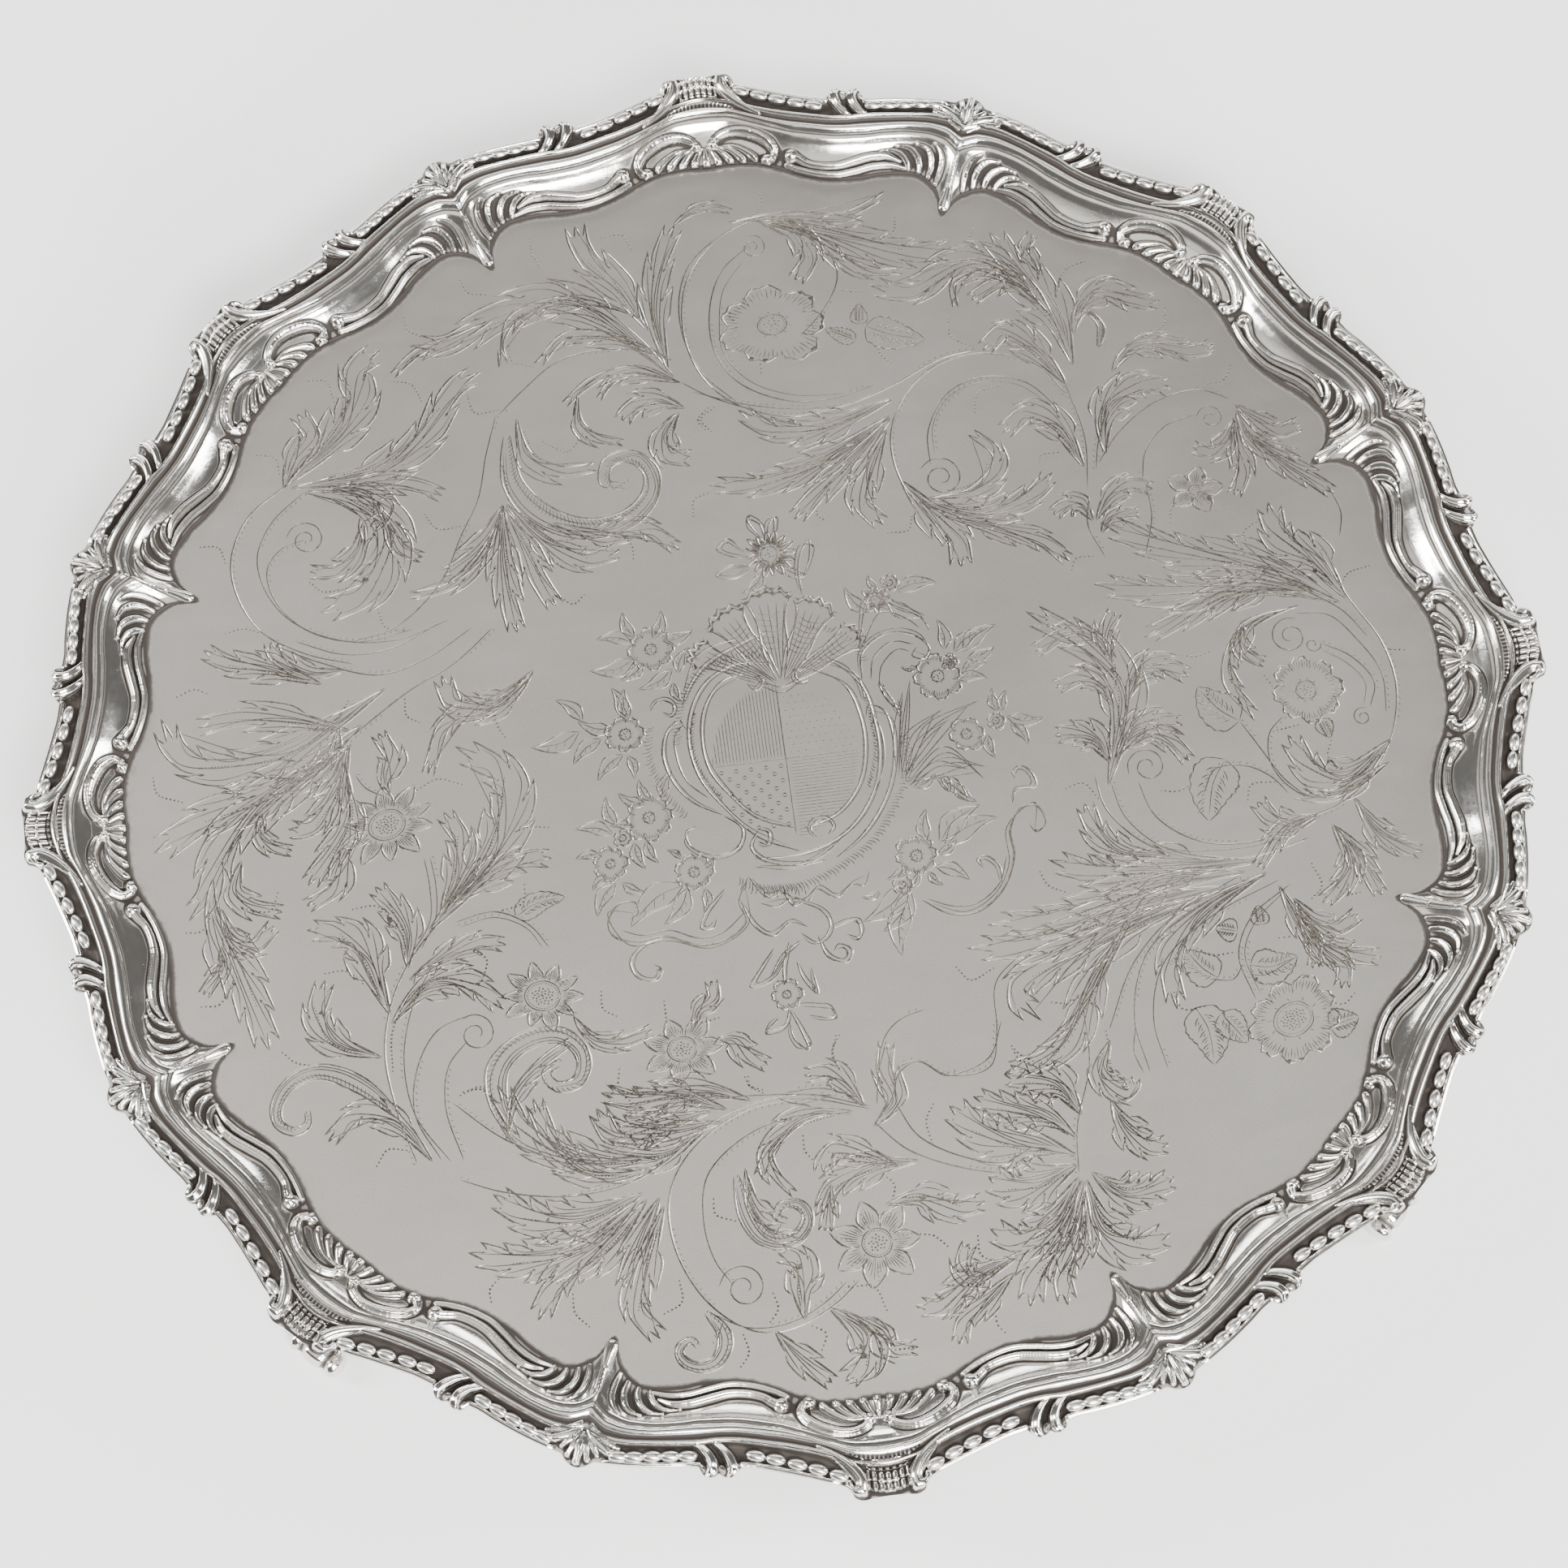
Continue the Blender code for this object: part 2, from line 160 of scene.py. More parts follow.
border = {
    "columns": 330,  # across half a bay, closer together at the fan and at the mitre
    "rows": (64, 7, 11, 11, 17),  # between the lines below
    "foot": (  # where the border stands on the plate: (angle, share of the fan radius)
        (0, 0.8705), (2, 0.873), (4, 0.872), (6, 0.865), (8, 0.855), (9.5, 0.849), (11.2, 0.846),
        (14, 0.851), (16, 0.861), (18, 0.8675), (19, 0.869), (20, 0.865), (21, 0.854), (21.6, 0.845),
        (21.95, 0.832), (22.2, 0.821), (22.5, 0.817),
    ),
    "hollow": (
        (0, 0.937), (2, 0.935), (4, 0.925), (6, 0.914), (8, 0.906), (11, 0.9025), (14, 0.9075), (16, 0.915),
        (18, 0.921), (19.7, 0.923), (21, 0.920), (22, 0.911), (22.5, 0.906),
    ),
    "ridge": (
        (0, 0.9445), (2, 0.942), (4, 0.932), (6, 0.9215), (8, 0.915), (11, 0.9118), (14, 0.9172),
        (16, 0.9235), (18, 0.9300), (19.7, 0.9325), (21, 0.930), (22, 0.922), (22.5, 0.917),
    ),
    "lip": (
        (0, 0.962), (2, 0.957), (3, 0.951), (4, 0.943), (6, 0.934), (8, 0.929), (11, 0.9252), (12.5, 0.927),
        (14, 0.933), (16, 0.938), (18, 0.943), (19.6, 0.947), (21, 0.948), (22, 0.944), (22.5, 0.941),
    ),
    "channel": (
        (0, 0.980), (2, 0.973), (3.5, 0.9685), (5, 0.960), (6.5, 0.9535), (8, 0.9475), (9.6, 0.944),
        (11, 0.9425), (13, 0.946), (14.6, 0.9505), (16, 0.954), (17.5, 0.958), (19.7, 0.964),
        (21, 0.967), (22.5, 0.970),
    ),
    "edge": (
        (0, 0.999), (1.0, 0.9995), (1.85, 1.0015), (2.45, 0.998), (2.8, 0.987), (3.3, 0.981), (4, 0.978),
        (6, 0.969), (8, 0.962), (9.5, 0.9585), (10.6, 0.9582), (10.85, 0.964), (11.4, 0.9715),
        (11.95, 0.970), (12.2, 0.9675), (12.5, 0.972), (13.0, 0.9735), (13.45, 0.969), (13.7, 0.9625),
        (14.2, 0.9625), (16, 0.967), (18, 0.972), (20, 0.976), (21.25, 0.978), (21.5, 0.982),
        (22.1, 0.9885), (22.5, 0.9895),
    ),
    # height in mm above the plate; whole numbers are the lines above, from foot to edge
    "moulding": (
        (0, 0.7), (0.04, 1.0), (0.1, 1.05), (0.25, 1.35), (0.5, 2.6), (0.75, 4.6), (0.93, 6.6), (1.0, 6.9),
        (1.25, 7.9), (1.7, 8.9), (2.0, 9.05), (2.3, 8.5), (2.5, 8.15), (2.7, 8.6), (2.88, 9.7), (3.0, 10.0),
        (3.14, 9.7), (3.3, 8.0), (3.5, 7.1), (4.0, 6.9), (4.4, 7.2), (4.6, 8.3), (4.78, 8.7), (5.0, 8.35),
    ),
    "seat": 7.6,  # height of the plain ground under the fans and at the mitres
    "highest": 11.85,
    "tarnishReach": 1.3,
    "hollowed": (  # (line, height in mm) of the border's underside
        (0, 0.36), (0.1, 0.36), (0.3, 0.36), (0.6, 1.0), (1, 4.6), (1.6, 7.0), (2, 7.3), (2.5, 6.6), (3,
                                                                                                      6.9),
        (3.5, 5.4), (4.5, 5.6), (5, 6.6),
    ),
    "soil": (  # (line, how dirty) besides what the relief gives
        (0, 1), (0.05, 0.6), (0.1, 0), (1.9, 0), (2.25, 0.3), (2.5, 0.5), (2.75, 0.2), (3.1, 0.1),
        (3.3, 0.42), (4.3, 0.36), (4.6, 0),
    ),
}

spaced = np.linspace(0, 1, border["columns"] + 1)
angles = halfBay * (spaced - 0.055 * np.sin(2 * math.pi * spaced) - 0.03 * np.sin(4 * math.pi * spaced))
lines = [throughPoints(border[k], angles) for k in ("foot", "hollow", "ridge", "lip", "channel", "edge")]
rowShare = [0.0]
for k, count in enumerate(border["rows"]):
    rowShare += [k + (i + 1) / count for i in range(count)]
rowShare = np.array(rowShare)
rowLine = np.minimum(rowShare.astype(int), 4)
rowPart = (rowShare - rowLine)[:, None]
gridRadius = np.array(lines)[rowLine] * (1 - rowPart) + np.array(lines)[rowLine + 1] * rowPart
gridAngle = np.repeat(angles[None, :], len(rowShare), 0)
gridX, gridY = np.moveaxis(polarPoint(gridAngle, gridRadius), -1, 0)


def smoothStep(low, high, x):
    t = np.clip((x - low) / (high - low), 0, 1)
    return t * t * (3 - 2 * t)


def baseHeight():
    full = np.repeat(throughPoints(border["moulding"], rowShare)[:, None], gridAngle.shape[1], 1)
    channelPart = smoothStep(2.9, 3.3, rowShare)[:, None] * (
        1 - smoothStep(3.0, 4.0, gridAngle) + smoothStep(20.1, 20.9, gridAngle)
    )
    return full * (1 - channelPart) + border["seat"] * channelPart


class Relief:
    # heights in mm over the half-bay grid; strands are laid on it like cord on clay

    def __init__(self, ground=None):
        self.z = np.full(gridX.shape, -9.0) if ground is None else ground.copy()

    def strand(self, points, lift=None, bulge=0.5, groove=0.0, grooveWidth=0.35, side=0.0):
        # rows of (angle, share, half width in mm, height in mm); with lift the height is above that ground
        rows = np.array(points, float)
        rows[:, :2] = polarPoint(rows[:, 0], rows[:, 1])
        path = smoothPath(rows, 0.5)
        if lift is not None:
            path[:, 3] += heightAt(lift, path[:, :2])
        low = path[:, :2].min(0) - path[:, 2].max()
        high = path[:, :2].max(0) + path[:, 2].max()
        near = (gridX > low[0]) & (gridX < high[0]) & (gridY > low[1]) & (gridY < high[1])
        x, y = gridX[near], gridY[near]
        best = np.full(x.shape, 9.0)
        across = np.zeros(x.shape)
        crest = np.zeros(x.shape)
        width = np.ones(x.shape)
        for a, b in zip(path[:-1], path[1:]):
            along = b[:2] - a[:2]
            length = along @ along + 1e-9
            t = np.clip(((x - a[0]) * along[0] + (y - a[1]) * along[1]) / length, 0, 1)
            dx, dy = x - a[0] - t * along[0], y - a[1] - t * along[1]
            w = a[2] + (b[2] - a[2]) * t
            q = np.hypot(dx, dy) / np.maximum(w, 0.05)
            closer = q < best
            best[closer] = q[closer]
            crest[closer] = (a[3] + (b[3] - a[3]) * t)[closer]
            width[closer] = w[closer]
            sign = np.sign(along[0] * dy - along[1] * dx)
            across[closer] = (sign * q)[closer]
        inside = best < 1
        dome = (1 - best[inside] ** 2) ** bulge
        depth = np.minimum(2.2 * width[inside], 4.0)
        z = crest[inside] - depth * (1 - dome)
        if groove:
            z -= groove * np.exp(-(((across[inside] - side) / grooveWidth) ** 2))
        held = self.z[near]
        held[inside] = np.maximum(held[inside], z)
        self.z[near] = held
        return self


def heightAt(ground, places):
    # ground height at plan points, from the nearest grid corner
    a = np.degrees(np.arctan2(places[:, 0], places[:, 1]))
    r = np.hypot(places[:, 0], places[:, 1]) / (fanRadius / mm)
    c = np.clip(np.searchsorted(angles, np.abs(a)), 0, border["columns"])
    stack = gridRadius[:, c]
    row = np.abs(stack - r).argmin(0)
    return ground[row, c]


knots = [  # two strands tied over the channel: outer head first
    [(11.35, 0.9700, 1.75, 9.9), (11.2, 0.9640, 2.0, 10.9), (11.35, 0.9540, 2.0, 11.2),
     (11.75, 0.9440, 1.8, 10.9), (12.35, 0.9350, 1.4, 10.2), (13.0, 0.9300, 0.7, 8.9)],
    [(12.9, 0.9722, 1.75, 9.9), (12.7, 0.9660, 2.0, 10.9), (12.75, 0.9560, 2.0, 11.2),
     (13.15, 0.9460, 1.8, 10.9), (13.8, 0.9375, 1.4, 10.2), (14.6, 0.9335, 0.7, 9.0)],
]
plain = baseHeight()
tied = Relief(plain)
for strand in knots:
    tied.strand(strand, groove=0.55, grooveWidth=0.3, side=-0.25)
ground = tied.z
print("border ground", ground.shape)


# the mounts on the border, as strands over the half bay: rows of (angle, share, half width, height)

fan = {
    "volute": [(5.0, 0.9330, 1.0, 9.4), (3.9, 0.9440, 1.7, 10.2), (2.9, 0.9570, 2.2, 10.9),
               (2.25, 0.9700, 2.5, 11.3), (1.95, 0.9810, 2.5, 11.5), (2.0, 0.9900, 2.5, 11.6)],
    "curl": [(2.0, 0.9905, 2.5, 11.6), (2.4, 0.9910, 2.0, 11.4), (2.75, 0.9865, 1.6, 10.9),
             (2.85, 0.9800, 1.3, 10.2)],
    # inner share, outer share, height
    "tiers": ((0.9560, 0.9700, 8.3), (0.9695, 0.9835, 8.9), (0.9830, 0.9960, 9.5)),
    "tierHalf": 1.25,
    "tierRibs": 2.5,
    "panelTop": 0.9575,
    "panelHalf": 2.9,
    "panelRibs": 9,
}
shell = {
    "scroll": [(0.75, 0.9000, 1.6, 2.8), (1.10, 0.9085, 1.7, 2.9), (2.1, 0.9150, 1.8, 2.9),
               (3.4, 0.9145, 2.1, 3.1), (4.8, 0.9070, 2.2, 3.1), (5.8, 0.8960, 2.1, 3.0),
               (6.2, 0.8840, 1.8, 2.7), (5.95, 0.8750, 1.6, 2.4)],
    "heads": [(0.75, 0.9000, 2.2, 3.2), (5.5, 0.8735, 2.4, 3.1)],
    "ribs": 4,  # to each side of the middle one
    "ribSpread": 1.08,
    "ribRoot": 0.8985,
    "ribEnd": 0.8765,
    "body": 0.35,
}
scroll = {
    "upper": [(7.7, 0.8780, 2.2, 3.2), (8.5, 0.8725, 1.8, 2.9), (9.2, 0.8665, 1.6, 2.6),
              (10.4, 0.8630, 1.6, 2.7), (12, 0.8645, 1.7, 2.8), (13.5, 0.8730, 1.8, 2.9),
              (15, 0.8825, 1.8, 2.8), (16.4, 0.8865, 1.5, 2.4), (17.6, 0.8830, 0.8, 1.4)],
    "lower": [(7.3, 0.8650, 1.1, 1.9), (8.4, 0.8585, 1.3, 2.0), (10, 0.8530, 1.4, 2.0),
              (12, 0.8525, 1.4, 2.0), (13.6, 0.8600, 1.4, 2.0), (15.2, 0.8700, 1.4, 2.0),
              (16.8, 0.8755, 1.2, 1.9), (18.2, 0.8750, 0.7, 1.2)],
    "head": (7.75, 0.8775, 2.8, 3.3),
}
leaves = {
    "commas": [
        [(15.9, 0.8925, 0.4, 0.9), (16.9, 0.8950, 0.9, 1.7), (17.8, 0.8905, 1.35, 2.2),
         (18.3, 0.8815, 1.3, 2.0), (18.45, 0.8745, 0.8, 1.2)],
        [(17.2, 0.9020, 0.4, 1.0), (18.2, 0.9020, 1.0, 1.9), (19.0, 0.8945, 1.5, 2.5),
         (19.4, 0.8835, 1.4, 2.2), (19.45, 0.8735, 0.9, 1.3)],
        [(18.9, 0.9085, 0.4, 1.0), (19.7, 0.9050, 1.0, 1.9), (20.25, 0.8960, 1.45, 2.5),
         (20.5, 0.8830, 1.4, 2.2), (20.4, 0.8685, 1.0, 1.4)],
        [(20.5, 0.9110, 0.35, 0.9), (21.0, 0.9030, 0.9, 1.7), (21.3, 0.8920, 1.2, 2.2),
         (21.35, 0.8760, 1.2, 2.1), (21.2, 0.8600, 0.9, 1.4)],
    ],
    "tips": [(15.8, 0.8920, 0.7, 1.2), (17.1, 0.9018, 0.75, 1.3), (18.8, 0.9087, 0.75, 1.3),
             (20.4, 0.9122, 0.6, 1.1)],
    "arris": [(22.5, 0.9100, 0.5, 0.2), (22.5, 0.8950, 0.9, 0.7), (22.5, 0.8750, 1.2, 1.2),
              (22.5, 0.8600, 1.5, 1.7)],
    "spur": [(22.5, 0.8620, 1.7, 3.4), (22.5, 0.8480, 2.1, 3.2), (22.5, 0.8350, 2.5, 2.9),
             (22.5, 0.8275, 2.6, 2.5)],
    "lobes": [
        [(19.95, 0.9655, 1.0, 8.9), (20.5, 0.9625, 1.7, 9.9), (21.2, 0.9565, 1.9, 10.2),
         (21.9, 0.9480, 1.5, 9.9), (22.4, 0.9390, 0.9, 9.3)],
        [(19.75, 0.9560, 0.9, 8.9), (20.5, 0.9525, 1.3, 9.6), (21.3, 0.9455, 1.4, 9.7),
         (22.1, 0.9350, 0.9, 9.2)],
    ],
    "lobeHead": (20.15, 0.9640, 1.7, 9.9),
    "palmette": [
        [(22.5, 0.9470, 0.7, 9.4), (22.5, 0.9680, 1.6, 10.9), (22.5, 0.9835, 1.5, 10.3)],
        [(22.4, 0.9470, 0.6, 9.2), (22.05, 0.9640, 1.3, 10.5), (21.8, 0.9775, 1.2, 9.8)],
        [(22.3, 0.9465, 0.5, 9.0), (21.7, 0.9590, 1.2, 10.1), (21.2, 0.9690, 1.1, 9.4)],
    ],
}


def dot(angle, share, radius, height):
    # a round knob as a very short strand
    return [(angle, share, radius, height), (angle, share - 0.0004, radius, height)]


def fanRelief():
    made = Relief()
    made.strand(fan["volute"], groove=0.5, grooveWidth=0.2, side=-0.45)
    made.strand(fan["curl"])
    edge = (gridAngle / fan["tierHalf"]) ** 2
    for inner, outer, height in fan["tiers"]:
        low, high = inner - 0.004 * edge, outer - 0.004 * edge
        part = (gridRadius - low) / (high - low)
        turn = gridAngle / fan["tierHalf"] * fan["tierRibs"] + 0.5
        ribs = -1.0 * np.exp(-(((turn - np.rint(turn)) / 0.2) ** 2)) * smoothStep(0.98, 0.75, part)
        z = height + 0.5 * part + 0.45 * np.exp(-(((part - 0.9) / 0.1) ** 2)) + ribs - 0.4 * edge
        z -= 0.9 * smoothStep(0.16, 0.0, part)
        inside = (part >= 0) & (part < 1) & (gridAngle < fan["tierHalf"] * 1.25)
        made.z[inside] = np.maximum(made.z[inside], z[inside])
    arc = (gridAngle / fan["panelHalf"]) ** 2
    top = fan["panelTop"] - 0.0135 * arc
    bottom = 0.9415 - 0.003 * arc
    part = (gridRadius - bottom) / np.maximum(top - bottom, 1e-4)
    turn = gridAngle / fan["panelHalf"] * fan["panelRibs"]
    ribs = -0.5 * np.exp(-(((turn - np.rint(turn)) / 0.22) ** 2))
    ribs = ribs * smoothStep(0.3, 0.45, part) * smoothStep(0.9, 0.8, part)
    z = 8.7 + ribs + 0.5 * np.exp(-(((part - 0.92) / 0.08) ** 2))
    z += 0.5 * np.exp(-(((part - 0.16) / 0.14) ** 2))
    inside = (part > 0) & (part < 1) & (gridAngle < fan["panelHalf"])
    made.z[inside] = np.maximum(made.z[inside], z[inside])
    return made.z


def shellRelief():
    made = Relief()
    lip = shell["ribEnd"] - 0.0022 + 0.0025 * (gridAngle / 4.4) ** 2
    inside = (gridAngle < 5.4) & (gridRadius > lip) & (gridRadius < 0.9135 - 0.0008 * gridAngle**2)
    made.z[inside] = ground[inside] + shell["body"]
    for k in range(-shell["ribs"], shell["ribs"] + 1):
        end = k * shell["ribSpread"]
        share = shell["ribEnd"] + 0.004 * (k / shell["ribs"]) ** 2
        root = (0.16 * end, shell["ribRoot"], 0.35, 0.9)
        bendShare = shell["ribRoot"] - 0.45 * (shell["ribRoot"] - share) + 0.0015 * abs(k)
        bend = (0.62 * end, bendShare, 1.25, 1.6)
        made.strand([root, bend, (end, share, 1.85, 2.1), (1.04 * end, share - 0.0035, 1.6, 1.7)],
                    lift=ground)
    made.strand(shell["scroll"], lift=ground, groove=0.75, grooveWidth=0.24, side=0.38)
    for head in shell["heads"]:
        made.strand(dot(*head), lift=ground)
    return made.z


def scrollRelief():
    made = Relief()
    for part in ("lower", "upper"):
        made.strand(scroll[part], lift=ground, groove=0.35, grooveWidth=0.2, side=0.1)
    made.strand(dot(*scroll["head"]), lift=ground)
    return made.z


def leafRelief():
    made = Relief()
    for strand in leaves["commas"]:
        made.strand(strand, lift=ground, groove=0.3, grooveWidth=0.22, side=-0.3)
    for tip in leaves["tips"]:
        made.strand(dot(*tip), lift=ground)
    made.strand(leaves["arris"], lift=ground)
    made.strand(leaves["spur"])
    for strand in leaves["lobes"] + leaves["palmette"]:
        made.strand(strand, groove=0.3, grooveWidth=0.2)
    made.strand(dot(*leaves["lobeHead"]))
    return made.z


reliefs = {"fan": fanRelief(), "shell": shellRelief(), "scroll": scrollRelief(), "leaf": leafRelief()}
for part in reliefs.values():
    np.minimum(part, border["highest"], out=part)
surface = np.maximum.reduce([ground] + list(reliefs.values()))


def blurred(field, reachInMm):
    # a soft average over the half bay, mirrored past both of its ends
    step = math.radians(halfBay / border["columns"]) * fanRadius / mm * 0.92
    across = max(1, round(reachInMm / step))
    wide = np.pad(field, ((across, across), (across, across)), mode="symmetric")
    kernel = np.exp(-0.5 * (np.arange(-across, across + 1) / (across * 0.5)) ** 2)
    kernel /= kernel.sum()
    wide = np.apply_along_axis(lambda v: np.convolve(v, kernel, "valid"), 0, wide)
    return np.apply_along_axis(lambda v: np.convolve(v, kernel, "valid"), 1, wide)


hollowness = blurred(surface, border["tarnishReach"]) - surface
broadHollow = blurred(surface, 3.2 * border["tarnishReach"]) - surface
print("mounts raised, highest", round(float(surface.max()), 2), "mm")


class Wire:
    # one socket of a node tree; sums, products and maths are written as plain arithmetic
    def __init__(self, graph, socket):
        self.graph = graph
        self.socket = socket

    def maths(self, operation, *others):
        return self.graph.maths(operation, self, *others)

    def __add__(self, other):
        return self.maths("ADD", other)

    def __sub__(self, other):
        return self.maths("SUBTRACT", other)

    def __mul__(self, other):
        return self.maths("MULTIPLY", other)

    def __rsub__(self, other):
        return self.graph.maths("SUBTRACT", other, self)

    __radd__ = __add__
    __rmul__ = __mul__

    def top(self, other):
        return self.maths("MAXIMUM", other)

    def ramp(self, low, high):
        # 0 below low, 1 above high, smooth between
        return self.graph.node("ShaderNodeMapRange", {"interpolation_type": "SMOOTHSTEP"},
                               Value=self, From_Min=low, From_Max=high)["Result"]


class Graph:
    # the node tree of a material or of the world
    def __init__(self, owner):
        owner.use_nodes = True
        self.owner = owner
        self.tree = owner.node_tree
        self.tree.nodes.clear()

    def plug(self, socket, value):
        if isinstance(value, Wire):
            self.tree.links.new(value.socket, socket)
        else:
            socket.default_value = value

    def node(self, kind, settings=None, *values, **named):
        # any node: type, settings, then values or links in socket order, or by name with _ for a space;
        # gives its outputs by name
        made = self.tree.nodes.new(kind)
        for key, value in (settings or {}).items():
            setattr(made, key, value)
        shown = [socket for socket in made.inputs if socket.enabled]
        for socket, value in zip(shown, values):
            self.plug(socket, value)
        for key, value in named.items():
            self.plug(next(socket for socket in shown if socket.name == key.replace("_", " ")), value)
        return {socket.name: Wire(self, socket) for socket in made.outputs if socket.enabled}

    def maths(self, operation, *values):
        return self.node("ShaderNodeMath", {"operation": operation}, *values)["Value"]

    def mix(self, factor, a, b):
        return self.node("ShaderNodeMix", {"data_type": "RGBA"}, factor, a, b)["Result"]

    def noise(self, scale, detail, rough, stretch=None):
        place = self.node("ShaderNodeTexCoord")["Object"]
        if stretch:
            place = self.node("ShaderNodeMapping", None, Vector=place, Scale=stretch)["Vector"]
        return self.node("ShaderNodeTexNoise", None, Vector=place, Scale=scale, Detail=detail,
                         Roughness=rough)["Fac"]

    def attribute(self, name):
        return self.node("ShaderNodeAttribute", {"attribute_name": name})["Fac"]

    def bump(self, height, strength, distance, under=None):
        sockets = {"Height": height, "Strength": strength, "Distance": distance}
        if under is not None:
            sockets["Normal"] = under
        return self.node("ShaderNodeBump", None, **sockets)["Normal"]

    def finish(self, **sockets):
        shader = self.node("ShaderNodeBsdfPrincipled", None, **sockets)["BSDF"]
        self.node("ShaderNodeOutputMaterial", None, shader)
        return self.owner


def newGraph(name):
    return Graph(bpy.data.materials.new(name))


silver = {
    "bright": (0.86, 0.845, 0.815, 1),
    "warm": (0.72, 0.67, 0.60, 1),
    "tarnish": (0.040, 0.032, 0.027, 1),
    "haze": (0.36, 0.32, 0.28, 1),
    "plate": ((0.60, 0.57, 0.53, 1), (0.71, 0.685, 0.65, 1)),
    "grain": (0.50, 0.47, 0.44, 1),
    "cut": ((0.03, 0.025, 0.02, 1), (0.20, 0.18, 0.155, 1)),
    "polish": 0.14,  # roughness of the border; the beads and the plate are duller
    "mountDuller": 0.02,
    "beadDuller": 0.12,
    "plateRough": 0.33,
}


def borderSilver(name, polish):
    g = newGraph(name)
    hollow = g.attribute("tarnish")
    patchy = g.noise(38, 5, 0.6)
    fine = g.noise(420, 4, 0.65)
    speck = g.noise(1500, 2, 0.5)
    dark = (hollow * 1.5 + (patchy - 0.5) * 0.4 + (fine - 0.5) * 0.6).ramp(0.30, 0.95)
    pits = speck.ramp(0.70, 0.76) * patchy.ramp(0.48, 0.62) * 0.75
    dark = dark.top(pits)
    haze = (hollow * 0.9 + patchy * 0.35).ramp(0.15, 0.7) * 0.7
    color = g.mix(patchy.ramp(0.35, 0.7) * 0.35, silver["bright"], silver["warm"])
    color = g.mix(haze, color, silver["haze"])
    color = g.mix(dark, color, silver["tarnish"])
    scuff = g.noise(260, 6, 0.7, stretch=(1, 1, 4))
    rough = polish + dark * 0.35 + haze * 0.15 + (scuff - 0.5) * 0.14 + (patchy - 0.5) * 0.08
    worn = g.bump(fine, 0.12, 0.0004)
    worn = g.bump(scuff, 0.10, 0.0002, worn)
    return g.finish(Base_Color=color, Metallic=1 - dark * 0.7, Roughness=rough.top(0.05), Normal=worn)


def plateSilver():
    g = newGraph("plateSilver")
    grain = g.noise(2600, 3, 0.7)
    cloud = g.noise(9, 5, 0.55)
    rub = g.noise(130, 5, 0.7, stretch=(0.35, 1, 1))
    edge = g.attribute("tarnish")
    speck = g.noise(700, 2, 0.5)
    dark = (edge * 1.3 + (g.noise(300, 4, 0.7) - 0.5) * 0.9).ramp(0.30, 0.95)
    dark = dark.top(speck.ramp(0.74, 0.79) * cloud.ramp(0.5, 0.62) * 0.55)
    color = g.mix(cloud, *silver["plate"])
    color = g.mix((grain - 0.5).maths("ABSOLUTE") * 1.6, color, silver["grain"])
    color = g.mix(dark * 0.9, color, silver["tarnish"])
    rough = silver["plateRough"] + (cloud - 0.5) * 0.10 + (rub - 0.5) * 0.10 + dark * 0.2
    worn = g.bump(grain, 0.28, 0.0002)
    return g.finish(Base_Color=color, Metallic=1 - dark * 0.6, Roughness=rough, Normal=worn)


def cutSilver():
    g = newGraph("cutSilver")
    fine = g.noise(900, 3, 0.6)
    broad = g.noise(25, 3, 0.5)
    color = g.mix((fine * 0.7 + broad * 0.5).ramp(0.35, 0.85), *silver["cut"])
    return g.finish(Base_Color=color, Metallic=0.75, Roughness=0.30 + fine * 0.2,
                    Normal=g.bump(fine, 0.1, 0.0001))


borderMaterial = borderSilver("borderSilver", silver["polish"])
mountMaterial = borderSilver("mountSilver", silver["polish"] + silver["mountDuller"])
beadMaterial = borderSilver("beadSilver", silver["polish"] + silver["beadDuller"])
plateMaterial = plateSilver()
cutMaterial = cutSilver()
print("materials made")


# solids from the relief

def fullGrid(columnsFrom, columnsTo, about):
    # numbers of the half bay's columns, from columnsFrom to columnsTo counted from the fan's axis, with the
    # angle of each; a count past the half bay comes back on the other side of the mitre
    wanted = np.arange(columnsFrom, columnsTo + 1)
    held = np.abs(wanted)
    past = held > border["columns"]
    held = np.where(past, 2 * border["columns"] - held, held)
    angle = np.where(past, 2 * halfBay - angles[held], np.sign(wanted) * angles[held])
    return held, np.repeat(angle[None, :] + about, len(rowShare), 0)


def addAttribute(mesh, name, values):
    layer = mesh.attributes.new(name, "FLOAT", "POINT")
    layer.data.foreach_set("value", np.asarray(values, np.float32))


def tarnishOf(heldColumns):
    near, wide = hollowness[:, heldColumns], broadHollow[:, heldColumns]
    soiled = np.interp(rowShare, *zip(*border["soil"]))
    low = np.clip(1.5 - (surface - plain)[:, heldColumns] * 2, 0, 1)
    return np.clip(near / 0.5, 0, 1) * 0.8 + np.clip(wide / 2.0, 0, 1) * 0.45 + soiled[:, None] * low


